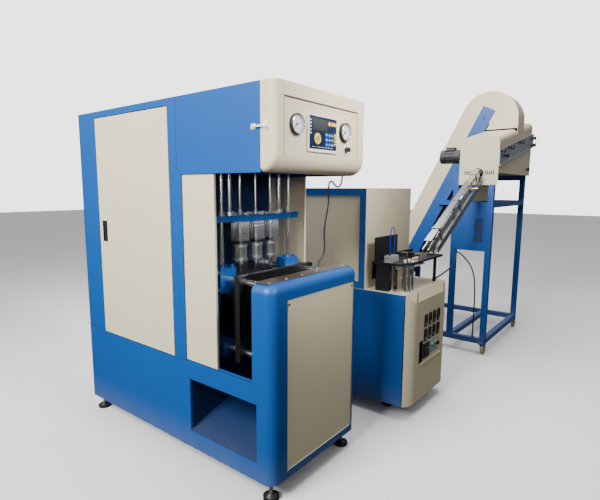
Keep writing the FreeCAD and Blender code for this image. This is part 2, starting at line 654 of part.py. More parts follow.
# ---------------------------------------------------------------- preform heater
def heater_base():
    """Blue lower cabinet, hollow, with the deck on top; the door closes its front."""
    body = block(0, heater_front, leg_height, heater_w, heater_back, heater_h)
    hollow = block(sheet, heater_front - 1, leg_height + sheet, heater_w - sheet,
                   heater_back - sheet, heater_h - sheet)
    body = body.cut(hollow)
    sill = block(sheet, heater_front, leg_height + sheet, heater_w - sheet, heater_front + 30, 130)
    lintel = block(sheet, heater_front, heater_h - 60, heater_w - sheet, heater_front + 30,
                   heater_h - sheet)
    return [body, sill, lintel]


def heater_door():
    """Beige front door: rounded sides, sloping top edge, ledge and handle cup."""
    back, front = heater_front, heater_front - heater_door_t
    x0, x1 = heater_door_in, heater_w
    third = heater_nose / 3
    deep = heater_door_t
    plan = [Part.Arc(V(x0, back, 0), V(x0 + third, back - 0.72 * deep, 0), V(x0 + heater_nose, front, 0)),
            Part.LineSegment(V(x0 + heater_nose, front, 0), V(x1 - heater_nose, front, 0)),
            Part.Arc(V(x1 - heater_nose, front, 0), V(x1 - third, back - 0.72 * deep, 0), V(x1, back, 0)),
            Part.LineSegment(V(x1, back, 0), V(x0, back, 0))]
    z0, z1 = leg_height - 8, heater_h + 4
    door = Part.Face(Part.Wire([e.toShape() for e in plan])).extrude(V(0, 0, z1 - z0))
    door.translate(V(0, 0, z0))
    slope_cut = prism([V(x0 - 1, front - 1, z1 - 66), V(x0 - 1, back - 6, z1 + 1),
                       V(x0 - 1, front - 1, z1 + 1)], V(x1 - x0 + 2, 0, 0))
    door = door.cut(slope_cut)
    hx0, hx1, hz0, hz1 = 165.0, 222.0, 350.0, 500.0
    door = door.cut(block(hx0, front - 1, hz0, hx1, front + 16, hz1))
    cup = block(hx0, front - 1, hz0, hx1, front + 16, hz1).cut(
        block(hx0 + 4, front - 2, hz0 + 4, hx1 - 4, front + 13, hz1 - 4))
    grip = block(hx0 + 10, front + 2, hz0 + 4, hx0 + 26, front + 7, hz1 - 4)
    ledge = block(x0 + heater_nose + 60, front - 7, 335, x1 - heater_nose, front, 343)
    return [door, cup, grip, ledge]


def heat_controllers():
    """Two rows of four digital controllers, the black meter and the selector plate."""
    front = heater_front - heater_door_t
    parts = []
    for row in (0, 1):
        for k in range(4):
            x = 236 + k * 72
            z = 590 - row * 100
            unit = block(x, front - 8, z, x + 38, front, z + 78)
            unit = unit.makeFillet(3, [e for e in unit.Edges if e.BoundBox.YLength > 5])
            parts.append(unit.cut(block(x + 5, front - 9, z + 34, x + 33, front - 6, z + 72)))
    parts.append(block(228, front - 10, 372, 318, front, 470))
    parts.append(block(336, front - 2, 376, 500, front, 468))
    for x, z in ((380, 430), (450, 430)):
        parts.append(ring(V(x, front - 2, z), V(x, front - 8, z), 17, 13))
    return parts


def start_button():
    front = heater_front - heater_door_t
    cap = rod(V(380, front - 6, 430), V(380, front - 17, 430), 13 - running)
    return [round_edges(cap, 2, lambda p: p.y < front - 16)]


def selector_knob():
    front = heater_front - heater_door_t
    hub = rod(V(450, front - 2, 430), V(450, front - 14, 430), 13 - running)
    wing = block(445, front - 26, 417.5, 455, front - 14, 442.5)
    return [hub.fuse(wing)]


def tunnel_frame():
    """Blue edge frame of the heating tunnel."""
    side = tunnel_bar
    half = side / 2
    parts = []
    y0, y1, z0, z1 = tunnel_y, heater_back, heater_h, tunnel_top
    for x in (half, heater_w - half):
        for y in (y0 + half, y1 - half):
            parts.append(square_tube(V(x, y, z0), V(x, y, z1), side, 2.0))
        for z in (z0 + half, z1 - half):
            parts.append(square_tube(V(x, y0 + side, z), V(x, y1 - side, z), side, 2.0))
    for y in (y0 + half, y1 - half):
        parts.append(square_tube(V(side, y, z1 - half), V(heater_w - side, y, z1 - half), side, 2.0))
    return parts


def tunnel_panels():
    """Beige sheets: the front wall with its feed slot, the sides, the back and the lid."""
    y0, y1, z0, z1 = tunnel_y, heater_back, heater_h, tunnel_top
    side = tunnel_bar
    front = block(0, y0 - 2, z0, heater_w + 15, y0, z1).cut(block(100, y0 - 3, 890, 330, y0 + 1, 1005))
    back = block(0, y1, z0, heater_w, y1 + 2, z1)
    lid = block(0, y0 - 2, z1, heater_w, y1 + 2, z1 + 2)
    parts = [front, back, lid]
    for x in (6.0, heater_w - 8.0):
        parts.append(block(x, y0 + side, z0 + side, x + 2, y1 - side, z1 - side))
    return parts


def heating_lamps():
    """Infrared tube lamps in two upright banks, with the reflector and holders."""
    parts = []
    y0, y1 = tunnel_y + tunnel_bar, heater_back - tunnel_bar
    for x, way in ((150.0, 1), (heater_w - 150.0, -1)):
        parts.append(block(x - 2, y0, heater_h, x + 2, y1, 1220))
        l0, l1 = sorted((x + way * 2, x + way * 20))
        for y in (y0 + 40, y1 - 60):
            parts.append(block(l0, y, 900, l1, y + 20, 1200))
        for k in range(lamp_count):
            z = 920 + k * 42
            centre = x + way * 32
            for ya, yb in ((y0 + 40, y0 + 60), (y1 - 60, y1 - 40)):
                parts.append(block(min(l1, centre) if way > 0 else centre, ya, z - 5,
                                   centre if way > 0 else l0, yb, z + 5))
            parts.append(rod(V(centre, y0 + 60, z), V(centre, y1 - 60, z), lamp_r))
    return parts


def loader_frame():
    """Black loader: housing on the deck, back plate, table and its chrome posts."""
    parts = [block(30, 30, heater_h, 44, 122, table_z),
             block(44, 90, heater_h, 250, 104, table_z),
             block(18, 120, table_z + table_t, 330, 130, 1185)]
    table = block(table_x0, table_y0, table_z, table_x1, table_y1, table_z + table_t)
    slot = block(95, -60, table_z - 1, 330, -28, table_z + table_t + 1)
    parts.append(table.cut(slot))
    parts.append(block(17, -60, table_z, table_x0, 150, table_z + table_t))
    parts.append(block(60, 60, heater_h, 90, 90, table_z))
    posts = [(60, -70), (76, -52), (96, table_y0 + 12), (60, 20), (150, table_y0 + 12), (567, -62)]
    for x, y in posts:
        parts.append(rod(V(x, y, heater_h), V(x, y, table_z), 7 if x < 500 else 11))
    for k in range(4):
        x = 70 + k * 30
        parts.append(rod(V(x, 40, heater_h), V(x, 40, heater_h + 60 + 22 * k), 9))
    parts.append(block(120, 106, table_z + table_t, 560, 120, table_z + table_t + 34))
    parts.append(block(22, 10, table_z + table_t, 130, 60, table_z + table_t + 42))
    for x, y in ((50, 35), (112, 35), (66, 52)):
        parts.append(rod(V(x, y, table_z + table_t + 42), V(x, y, table_z + table_t + 54), 5))
    parts.append(block(150, -88, table_z + table_t, 205, -66, table_z + table_t + 22))
    parts.append(block(258, -22, table_z + table_t, 296, 6, table_z + table_t + 46))
    # gland box where the power cable leaves the deck
    parts.append(block(603, -58, heater_h, 615, -34, heater_h + 20))
    return parts


def preform_spindles():
    """White mandrels that carry the preforms, on their chain through the tunnel."""
    parts = []
    for k in range(4):
        x = 112 + k * 60
        body = rod(V(x, -44, table_z - 26), V(x, -44, table_z + spindle_h), spindle_r)
        parts.append(body.fuse(rod(V(x, -44, table_z - 12), V(x, -44, table_z - 4), 14)))
    parts.append(block(100, -54, table_z - 34, 316, -34, table_z - 26))
    parts.append(block(200, -34, table_z - 34, 216, 90, table_z - 26))
    return parts


def loader_pusher():
    """Grey air cylinder's carriage that pushes each preform onto a mandrel."""
    z = table_z + table_t
    slide = block(330, 20, z + running, 372, 100, z + 30)
    finger = block(345, -40, z + 12, 357, 20, z + 26)
    return [slide.fuse(finger)]


def heater(place):
    print("preform heater")
    save("heater_base", heater_base(), place)
    save("heater_door", heater_door(), place)
    save("heat_controllers", heat_controllers(), place)
    save("start_button", start_button(), place)
    save("selector_knob", selector_knob(), place)
    save("tunnel_frame", tunnel_frame(), place)
    save("tunnel_panels", tunnel_panels(), place)
    save("heating_lamps", heating_lamps(), place)
    save("loader_frame", loader_frame(), place)
    save("preform_spindles", preform_spindles(), place)
    save("loader_pusher", loader_pusher(), place)


# ---------------------------------------------------------------- preform feeder
def belt_point(across, along):
    """Point in the elevator's plane: across the belt, and down along it from the head."""
    c, s = math.cos(belt_angle), math.sin(belt_angle)
    return V(0, arch_y + across * s + along * c, arch_z + across * c - along * s)


def feeder_frame():
    half = bar / 2
    x0, x1 = half, feeder_w - half
    y0, y1, y2 = feeder_y0 + half, feeder_y1 - half, feeder_back - half
    low = 124.0
    low_top = low + half
    mid, top = 1360.0, bed_z - half
    parts = []
    for x in (x0, x1):
        for y in (y0, y1):
            parts.append(square_tube(V(x, y, low_top), V(x, y, top - half), bar))
        parts.append(square_tube(V(x, y0 - half, top), V(x, y1 + half, top), bar))
        parts.append(square_tube(V(x, y0 - half, low), V(x, y2 + half, low), bar))
        parts.append(square_tube(V(x, y0 + half, mid), V(x, y1 - half, mid), bar))
    for y, z in ((y0, low), (y1, low), (y2, low), (y1, mid), (y0, mid)):
        parts.append(square_tube(V(x0 + half, y, z), V(x1 - half, y, z), bar))
    # arms from the frame to the elevator's channel, one at each side of it
    for x in (belt_x0 - half, belt_x0 + belt_w + half):
        near = belt_point(band_low, (arch_z - mid) / math.sin(belt_angle))
        parts.append(square_tube(V(x, y1 + half, mid), V(x, near.y + 60, mid), bar))
        foot_at = belt_point(band_low, belt_run - 120)
        parts.append(square_tube(V(x, y2 - 40, low_top), V(x, y2 - 40, foot_at.z), bar))
        parts.append(block(x - half, y2 - 60, low - half, x + half, y2 - 40 + half, low_top)
                     .cut(block(x - half, y2 - half, low - half, x + half, y2 + half, low_top)))
    # caster plates, and the fixed forks of the two back casters
    for x in (x0, x1):
        for y in (y0, y2):
            parts.append(block(x - 34, y - 30, low - half - 4, x + 34, y + 30, low - half))
        parts += caster_fork(x, y2, 0)
    # gland of the power cable on the left rail, and the angle bracket at the front left corner
    gland = V(x0, -40, low_top)
    parts.append(ring(gland, gland + V(0, 0, 12), 12, 6))
    parts.append(block(x0 - half - 26, y0 - half, low - 8, x0 - half, y0 - half + 6, low + half + 20)
                 .fuse(block(x0 - half - 26, y0 - half, low - 14, x0 - half, y0 + half, low - 8)))
    return parts


def caster_fork(x, y, swivel):
    """Swivel head and two cheeks; the axle lies behind the swivel's centre."""
    top = 96.0
    ax = x + caster_trail
    head = rod(V(x, y, top - 8), V(x, y, top - swivel * running), 22)
    bridge = block(x - 20, y - wheel_w / 2 - 5, top - 11, ax + 14, y + wheel_w / 2 + 5, top - 8)
    fork = head.fuse(bridge)
    for side in (-1, 1):
        near, far = sorted((side * (wheel_w / 2 + 1), side * (wheel_w / 2 + 5)))
        cheek = prism([V(x - 12, y + near, top - 8), V(ax + 14, y + near, top - 8),
                       V(ax + 12, y + near, wheel_r - 10), V(ax - 12, y + near, wheel_r - 10)],
                      V(0, far - near, 0))
        fork = fork.fuse(cheek)
    axle = rod(V(ax, y - wheel_w / 2 - 9, wheel_r), V(ax, y + wheel_w / 2 + 9, wheel_r), 6)
    if swivel:
        fork = fork.fuse(rod(V(x, y, top - 8), V(x, y, top + 8), 7))
    return [fork.fuse(axle)]


def caster_wheel(x, y):
    ax = x + caster_trail
    tyre = rod(V(ax, y - wheel_w / 2, wheel_r), V(ax, y + wheel_w / 2, wheel_r), wheel_r)
    tyre = round_edges(tyre, 6, lambda p: True)
    for side in (-1, 1):
        y0 = y + side * wheel_w / 2
        tyre = tyre.cut(ring(V(ax, y0 - side * 5, wheel_r), V(ax, y0 + side, wheel_r), 28, 14))
    return tyre.cut(rod(V(ax, y - 40, wheel_r), V(ax, y + 40, wheel_r), 6 + shaft_clear))


def caster_plate_holes(parts, places):
    """Bores for the swivel pins in the front caster plates and rails."""
    out = []
    for solid in parts:
        for x, y in places:
            box = solid.BoundBox
            if box.XMin < x < box.XMax and box.YMin < y < box.YMax and box.ZMin < 105:
                solid = solid.cut(rod(V(x, y, 80), V(x, y, 108), 7 + shaft_clear))
        out.append(solid)
    return out


def bed_rise(x):
    return slope * x


def unscrambler():
    """Open trough under the rollers with its front plate and slanting side plate."""
    y0, y1 = bed_y0, bed_y1
    end_rise = bed_rise(bed_l)
    side = [V(0, y0, bed_z), V(bed_l, y0, bed_z), V(bed_l, y0, bed_split_z + end_rise),
            V(0, y0, bed_split_z)]
    near = prism(side, V(0, sheet, 0))
    # the far side is in three plates, cut down where the elevator's belt comes past
    notch0, notch1, notch_z = belt_x0 - 4, belt_x0 + belt_w + 4, bed_z + 180
    far_y = y1 - sheet
    far = [block(0, far_y, bed_z, bed_l, y1, notch_z)]
    for x0, x1 in ((0, notch0), (notch1, bed_l)):
        far.append(prism([V(x0, far_y, notch_z), V(x1, far_y, notch_z),
                          V(x1, far_y, bed_split_z + bed_rise(x1)), V(x0, far_y, bed_split_z + bed_rise(x0))],
                         V(0, sheet, 0)))
    # so is the floor, open where preforms leave through the mouth
    open_x = 70.0
    floor = [block(open_x, y0 + sheet, bed_z, bed_l, far_y, bed_z + sheet),
             block(0, y0 + sheet, bed_z, open_x, chute_y - mouth_r, bed_z + sheet),
             block(0, chute_y + mouth_r, bed_z, open_x, far_y, bed_z + sheet)]
    back = block(bed_l - sheet, y0 + sheet, bed_z + sheet, bed_l, far_y,
                 bed_split_z + bed_rise(bed_l - sheet))
    mouth = rod(V(-20, chute_y, mouth_z), V(20, chute_y, mouth_z), mouth_r)
    front = block(-sheet, y0, bed_front_z, 0, y1, bed_split_z + bed_rise(-sheet))
    front = front.cut(mouth)
    plate = prism([V(2, y0 - 4, plate_low), V(2, y0 - 4, plate_high),
                   V(plate_l, y0 - 4, plate_high + bed_rise(plate_l)),
                   V(plate_l, y0 - 4, plate_low + bed_rise(plate_l))], V(0, 4, 0))
    lip = prism([V(2, y0 - 16, plate_low), V(2, y0 - 16, plate_low + 4),
                 V(plate_l, y0 - 16, plate_low + 4 + bed_rise(plate_l)),
                 V(plate_l, y0 - 16, plate_low + bed_rise(plate_l))], V(0, 12, 0))
    parts = [near, back, front, plate.fuse(lip)] + far + floor
    for x, up in ((60, 120), (330, 112), (170, 62), (700, 112), (1190, 90), (1200, 20)):
        z = plate_low + bed_rise(x) + up
        parts.append(rod(V(x, y0 - 4, z), V(x, y0 - 18, z), 13))
    parts.append(rod(V(1010, y0, 1700), V(1010, y0 - 14, 1700), 13))
    # bearing plates for the rollers
    window_half, window_z0, window_z1 = 26.0, bed_z + 20, bed_z + 84
    for x0, has_window in ((14.0, True), (bed_l - 44.0, False)):
        top = bed_split_z - 40 + bed_rise(x0)
        left, right = chute_y - window_half, chute_y + window_half
        plates = [block(x0, y0 + sheet, bed_z + sheet, x0 + 18, far_y, top)]
        if has_window:
            plates = [block(x0, y0 + sheet, bed_z + sheet, x0 + 18, left, top),
                      block(x0, right, bed_z + sheet, x0 + 18, far_y, top),
                      block(x0, left, bed_z + sheet, x0 + 18, right, window_z0),
                      block(x0, left, window_z1, x0 + 18, right, top)]
        for y in roller_places():
            bore = roller_axis(y, -80, 1300, 8 + shaft_clear)
            plates = [plate.cut(bore) for plate in plates]
        parts += plates
    return parts


def roller_places():
    half = roller_r + roller_gap / 2
    return [chute_y - half, chute_y + half]


def roller_axis(y, x0, x1, radius):
    return rod(V(x0, y, roller_z + bed_rise(x0)), V(x1, y, roller_z + bed_rise(x1)), radius)


def roller(y):
    body = roller_axis(y, 42, bed_l - 54, roller_r)
    return body.fuse(roller_axis(y, 16, bed_l - 24, 8))


def cover_section(x, inset):
    """Cross-section of the cover at x: upright sides and two rounded top corners."""
    y0, y1 = bed_y0 + inset, bed_y1 - inset
    z0 = bed_split_z + bed_rise(x)
    z1 = z0 + cover_h - inset
    r = cover_r - inset
    k = r * (1 - math.sqrt(0.5))
    segments = [Part.LineSegment(V(x, y0, z0), V(x, y0, z1 - r)),
                Part.Arc(V(x, y0, z1 - r), V(x, y0 + k, z1 - k), V(x, y0 + r, z1)),
                Part.LineSegment(V(x, y0 + r, z1), V(x, y1 - r, z1)),
                Part.Arc(V(x, y1 - r, z1), V(x, y1 - k, z1 - k), V(x, y1, z1 - r)),
                Part.LineSegment(V(x, y1, z1 - r), V(x, y1, z0)),
                Part.LineSegment(V(x, y1, z0), V(x, y0, z0))]
    return Part.Face(Part.Wire([s.toShape() for s in segments]))


def cover_piece(x0, x1, wall0, wall1):
    along = V(x1 - x0, 0, bed_rise(x1 - x0))
    outer = cover_section(x0, 0).extrude(along)
    start, end = x0 + wall0, x1 - wall1
    inner = cover_section(start, sheet).extrude(V(end - start, 0, bed_rise(end - start)))
    return outer.cut(inner)


def unscrambler_cover():
    # the two halves, and the plate that closes the front under the elevator's spout
    x0, x1 = belt_x0, belt_x0 + belt_w
    closing = prism([V(x0, bed_y0, bed_split_z + bed_rise(x0)), V(x1, bed_y0, bed_split_z + bed_rise(x1)),
                     V(x1, bed_y0, spout_z), V(x0, bed_y0, spout_z)], V(0, sheet, 0))
    return [cover_piece(-sheet, x0, sheet, 0), cover_piece(x1, bed_l, 0, sheet), closing]


def drive_motor():
    x, z = 62.0, 1790.0
    y0 = bed_y1
    flange = block(x - 50, y0, z - 50, x + 50, y0 + 12, z + 50)
    stator0, stator1 = y0 + 60, y0 + motor_l - 40
    gear = rod(V(x, y0 + 12, z), V(x, stator0, z), motor_r)
    stator = rod(V(x, stator0, z), V(x, stator1, z), motor_r - 6)
    cowl = rod(V(x, stator1, z), V(x, y0 + motor_l, z), motor_r)
    fins = []
    for k in range(12):
        fin = block(x - 1.5, stator0 + 2, z + motor_r - 8, x + 1.5, stator1 - 2, z + motor_r)
        fin.rotate(V(x, y0, z), V(0, 1, 0), k * 30)
        fins.append(fin)
    box = block(x - 28, stator0 + 8, z + motor_r - 6, x + 28, stator1 - 8, z + motor_r + 22)
    return [flange.fuse(gear).fuse(stator).fuse(cowl).multiFuse(fins + [box])]


def arch_outline(inset, run):
    """Elevator side outline: spout, round head, and the inclined leg."""
    r = arch_r - inset
    top = V(0, arch_y, arch_z + r)
    c, s = math.cos(belt_angle), math.sin(belt_angle)
    start = V(0, arch_y - r, arch_z)
    tangent = V(0, arch_y + r * s, arch_z + r * c)
    leg_out = belt_point(r, run)
    leg_in = belt_point(band_low, run)
    spout_in = belt_point(band_low, (arch_z - spout_z + band_low * c) / s)
    spout = V(0, arch_y - r, spout_z)
    edges = [Part.LineSegment(spout, start), Part.Arc(start, top, tangent),
             Part.LineSegment(tangent, leg_out), Part.LineSegment(leg_out, leg_in),
             Part.LineSegment(leg_in, spout_in), Part.LineSegment(spout_in, spout)]
    return Part.Face(Part.Wire([e.toShape() for e in edges]))


def band_prism(x0, x1, low, high, start, end):
    corners = [belt_point(low, start), belt_point(high, start), belt_point(high, end),
               belt_point(low, end)]
    return prism([V(x0, p.y, p.z) for p in corners], V(x1 - x0, 0, 0))


def elevator_housing():
    outer = arch_outline(0, belt_run).extrude(V(belt_w, 0, 0))
    outer.translate(V(belt_x0, 0, 0))
    inner = arch_outline(sheet, belt_run + 10).extrude(V(belt_w - 2 * sheet, 0, 0))
    inner.translate(V(belt_x0 + sheet, 0, 0))
    shell = outer.cut(inner)
    open_side = band_prism(belt_x0 + sheet, belt_x0 + belt_w - sheet, band_low - 5, band_low + 5,
                           200, belt_run + 5)
    open_spout = block(belt_x0 + sheet, arch_y - arch_r + sheet, spout_z - 5,
                       belt_x0 + belt_w - sheet, 60, spout_z + 5)
    notch = band_prism(belt_x0 - 1, belt_x0 + belt_w + 1, band_low - 10, band_high, -100, belt_run + 5)
    rim = band_prism(belt_x0 - 1, belt_x0 + belt_w + 1, band_low - 10, band_low, -101, 30)
    mouth = band_prism(belt_x0 + 20, belt_x0 + belt_w - 20, arch_r - 12, arch_r + 5,
                       belt_run - 420, belt_run - 60)
    return [shell.cut(open_side).cut(open_spout).cut(notch.cut(rim)).cut(mouth)]


def elevator_channel():
    """Blue side channels of the belt, the boot at their foot and the hopper behind."""
    x0, x1 = belt_x0, belt_x0 + belt_w
    parts = []
    for a, b in ((x0, x0 + 5), (x1 - 5, x1)):
        web = band_prism(a, b, band_low, band_high, -100, belt_run)
        bores = []
        for at in (0.0, belt_end):
            p = belt_point(drum_across(), at)
            bores.append(rod(V(a - 1, p.y, p.z), V(b + 1, p.y, p.z), 10 + shaft_clear))
        parts.append(web.cut(Part.makeCompound(bores)))
    lip = 22.0
    for a, b in ((x0 + 5, x0 + lip), (x1 - lip, x1 - 5)):
        parts.append(band_prism(a, b, band_low, band_low + 3, 120, belt_run))
    parts.append(band_prism(x0 + 5, x1 - 5, band_low + 3, band_high, belt_run - 3, belt_run))
    # hopper: four sheets around the loading mouth and a sloping floor
    mouth_low = belt_point(arch_r, belt_run - 60)
    y0, z0 = mouth_low.y, mouth_low.z
    y1, z1 = y0 + 420, z0 + 420
    cheek = [V(x0, y0, z0), V(x0, y1, z0 + 190), V(x0, y1, z1), V(x0, belt_point(arch_r, belt_run - 520).y,
             belt_point(arch_r, belt_run - 520).z)]
    for a in (x0, x1 - 2):
        side = prism([V(a, p.y, p.z) for p in cheek], V(2, 0, 0))
        parts.append(side)
    parts.append(prism([V(x0 + 2, y0, z0), V(x0 + 2, y1, z0 + 190), V(x0 + 2, y1, z0 + 193),
                        V(x0 + 2, y0, z0 + 3)], V(belt_w - 4, 0, 0)))
    parts.append(block(x0 + 2, y1 - 2, z0 + 194, x1 - 2, y1, z1))
    return parts


def drum_across():
    return (band_low + band_high) / 2


def belt_bend(at, x0, x1, outer, inner):
    """Half ring of belt round the drum at one end of the run."""
    p = belt_point(drum_across(), at)
    whole = ring(V(x0, p.y, p.z), V(x1, p.y, p.z), outer, inner)
    c = drum_across()
    return whole.cut(band_prism(x0 - 1, x1 + 1, c - outer - 1, c + outer + 1, 0, belt_end))


def elevator_belt():
    """Closed belt, a straight run on each side and a bend at each drum, with its cleats."""
    x0, x1 = belt_x0 + 26, belt_x0 + belt_w - 26
    inner = drum_r + running
    outer = inner + belt_t
    c = drum_across()
    parts = [band_prism(x0, x1, c + inner, c + outer, 0, belt_end),
             band_prism(x0, x1, c - outer, c - inner, 0, belt_end)]
    parts += [belt_bend(at, x0, x1, outer, inner) for at in (0, belt_end)]
    count = 8
    for k in range(count):
        at = 60 + k * 220
        if at < belt_run - 120:
            parts.append(band_prism(x0, x1, c + outer, c + outer + 45, at, at + 4))
            parts.append(band_prism(x0, x1, c - outer - 45, c - outer, at + 40, at + 44))
    return parts


def drum(at):
    p = belt_point(drum_across(), at)
    x0, x1 = belt_x0, belt_x0 + belt_w
    body = rod(V(x0 + 24, p.y, p.z), V(x1 - 24, p.y, p.z), drum_r)
    return body.fuse(rod(V(x0 - 8, p.y, p.z), V(x1 + 8, p.y, p.z), 10))


def control_boxes():
    """Louvred blue control box between the left posts and the beige power box."""
    y0, y1, z0, z1 = feeder_y0 + bar, feeder_y1 - bar, 950.0, 1336.0
    box = block(-2, y0, z0, 200, y1, z1)
    box = box.cut(block(0, y0 + 2, z0 + 2, 198, y1 - 2, z1 - 2))
    parts = [box]
    for k in range(10):
        z = 1040 + k * 21
        box_cut = block(-3, y0 + 28, z, 1, y0 + 96, z + 7)
        parts[0] = parts[0].cut(box_cut)
        parts.append(prism([V(-2, y0 + 26, z + 9), V(-8, y0 + 26, z + 2), V(-8, y0 + 26, z + 1),
                            V(-2, y0 + 26, z + 7)], V(0, 72, 0)))
    gland = V(120, 20, z0)
    parts.append(ring(gland, gland - V(0, 0, 16), 9, 4.5))
    power = block(110, 62, 1384, 700, feeder_y1 - bar, 1590)
    parts.append(power)
    return parts


def chute_at(along, side, up):
    """Point beside the chute: distance down it, sideways, and square to it."""
    length = math.hypot(1, chute_drop)
    c, s = 1 / length, chute_drop / length
    return V(-sheet - along * c - up * s, chute_y + side, chute_z - along * s + up * c)


def rail_under(x):
    """Height of the rails' underside at x."""
    start, end = chute_at(0, 0, rail_low), chute_at(1000, 0, rail_low)
    return start.z + (x - start.x) * (end.z - start.z) / (end.x - start.x)


def chute_bar(a0, a1, s0, s1, u0, u1):
    outline = [chute_at(a, s0, u) for a, u in ((a0, u0), (a1, u0), (a1, u1), (a0, u1))]
    return prism(outline, V(0, s1 - s0, 0))


def feed_chute():
    """Stainless rails that carry preforms by the neck, their channel, stays and sensor."""
    length = chute_l * math.hypot(1, chute_drop)
    half = rail_gap / 2
    parts = []
    for side in (-1, 1):
        s0, s1 = sorted((side * half, side * (half + 9)))
        parts.append(chute_bar(34, length, s0, s1, rail_low, 24))
    parts.append(chute_bar(30, length - 60, -half - 9, half + 9, 54, 60))
    low_end = length - 132
    base = chute_bar(60, low_end, -34, 34, -92, -88)
    for s0, s1 in ((-34, -31), (31, 34)):
        base = base.fuse(chute_bar(60, low_end, s0, s1, -92, -44))
    parts.append(base)
    stays = (110, length * 0.45, length * 0.8)
    for at in stays:
        for s0, s1 in ((-half - 15, -half - 9), (half + 9, half + 15)):
            parts.append(chute_bar(at, at + 26, s0, s1, -88, 62))
        parts.append(chute_bar(at, at + 26, -half - 9, half + 9, 60, 66))
    # collar at the unscrambler's mouth
    mouth = V(-sheet, chute_y, mouth_z)
    parts.append(ring(mouth, mouth - V(8, 0, 0), 37, mouth_r))
    for s0, s1 in ((-38, -34), (34, 38)):
        parts.append(block(-sheet - 40, chute_y + s0, bed_front_z + 4, -sheet, chute_y + s1, mouth_z - 40))
    # legs that carry the lower end on the heater's table
    table_top = table_z + table_t
    leg_x = heater_x - feeder_x + 590
    for s0, s1 in ((-half - 9, -half), (half, half + 9)):
        legs = [V(x, chute_y + s0, rail_under(x)) for x in (leg_x + 14, leg_x)]
        parts.append(prism([V(leg_x, chute_y + s0, table_top), V(leg_x + 14, chute_y + s0, table_top)] + legs,
                           V(0, s1 - s0, 0)))
    p = chute_at(300, -half - 9, 10)
    parts.append(rod(p, p - V(0, 62, 0), 9))
    return parts


def feeder(place):
    print("preform feeder")
    half = bar / 2
    front_casters = [(half, feeder_y0 + half), (feeder_w - half, feeder_y0 + half)]
    back_casters = [(half, feeder_back - half), (feeder_w - half, feeder_back - half)]
    save("feeder_frame", caster_plate_holes(feeder_frame(), front_casters), place)
    for name, (x, y) in zip(("left", "right"), front_casters):
        save("front_%s_fork" % name, caster_fork(x, y, 1), place)
        save("front_%s_wheel" % name, [caster_wheel(x, y)], place)
    for name, (x, y) in zip(("left", "right"), back_casters):
        save("back_%s_wheel" % name, [caster_wheel(x, y)], place)
    save("unscrambler", unscrambler(), place)
    save("unscrambler_cover", unscrambler_cover(), place)
    save("drive_motor", drive_motor(), place)
    for name, y in zip(("front", "back"), roller_places()):
        save("%s_roller" % name, [roller(y)], place)
    save("elevator_housing", elevator_housing(), place)
    save("elevator_channel", elevator_channel(), place)
    save("elevator_belt", elevator_belt(), place)
    save("head_drum", [drum(0)], place)
    save("foot_drum", [drum(belt_end)], place)
    save("control_boxes", control_boxes(), place)
    save("feed_chute", feed_chute(), place)


def main():
    os.makedirs("parts", exist_ok=True)
    corner = V(-foot_inset, -foot_inset, 0)
    heater_at = corner + V(heater_x, 0, 0)
    feeder_at = corner + V(feeder_x, 0, 0)
    blowing_machine(corner)
    heater(heater_at)
    feeder(feeder_at)
    feet = []
    for x in (foot_inset, cab_w - foot_inset):
        for y in (foot_inset, cab_d - foot_inset):
            feet += foot(x, y, leg_height)
    for x in (heater_foot_inset, heater_w - heater_foot_inset):
        for y in (heater_front + heater_foot_inset, heater_back - heater_foot_inset):
            feet += foot(x + heater_x, y, leg_height)
    save("levelling_feet", feet, corner)
    save("head_cable", [cord(head_cable, 4.5)], V(0, 0, 0))
    save("air_tube", [cord(air_tube, 3.0)], V(0, 0, 0))
    save("power_cable", [cord(power_cable, 6.0)], V(0, 0, 0))


main()
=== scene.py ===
import bmesh
import bpy
from math import cos, pi, radians, sin
from mathutils import Matrix, Vector


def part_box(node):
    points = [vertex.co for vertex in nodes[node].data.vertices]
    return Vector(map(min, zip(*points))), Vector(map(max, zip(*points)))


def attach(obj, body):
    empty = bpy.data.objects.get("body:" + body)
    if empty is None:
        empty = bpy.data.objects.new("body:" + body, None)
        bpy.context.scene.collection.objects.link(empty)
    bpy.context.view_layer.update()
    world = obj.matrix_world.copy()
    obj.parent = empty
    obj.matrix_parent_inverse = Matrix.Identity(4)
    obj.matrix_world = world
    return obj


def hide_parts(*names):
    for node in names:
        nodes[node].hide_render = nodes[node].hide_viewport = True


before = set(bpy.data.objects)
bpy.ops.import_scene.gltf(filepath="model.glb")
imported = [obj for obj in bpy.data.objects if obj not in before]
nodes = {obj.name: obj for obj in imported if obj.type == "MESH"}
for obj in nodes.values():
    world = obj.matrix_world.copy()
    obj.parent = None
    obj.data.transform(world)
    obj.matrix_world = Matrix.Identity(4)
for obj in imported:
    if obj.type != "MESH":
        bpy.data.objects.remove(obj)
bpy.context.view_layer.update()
print("frame loaded with", len(nodes), "CAD nodes")

# each unit's own corner on the floor
machineCorner = Vector((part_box("bench_cover")[0].x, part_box("bench_cover")[0].y, 0))
heaterCorner = Vector((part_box("heater_base")[0].x, machineCorner.y, 0))
feederCorner = Vector((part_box("unscrambler_cover")[0].x + 0.003, machineCorner.y, 0))


def onMachine(x, y, z):
    return machineCorner + Vector((x, y, z))


def onHeater(x, y, z):
    return heaterCorner + Vector((x, y, z))


def onFeeder(x, y, z):
    return feederCorner + Vector((x, y, z))


def show(made):
    bpy.context.scene.collection.objects.link(made)


# ---- camera and lights
view = {"place": (-1.556, -1.368, 1.498), "yaw": 51.31, "pitch": -8.05, "roll": 0.2,
        "lens": 27.70, "shiftX": 0.0143, "shiftY": 0.0063}
studio = {"skyHigh": 0.62, "skyLow": 0.06, "backdrop": 3.0, "floorColour": (0.90, 0.90, 0.89, 1)}
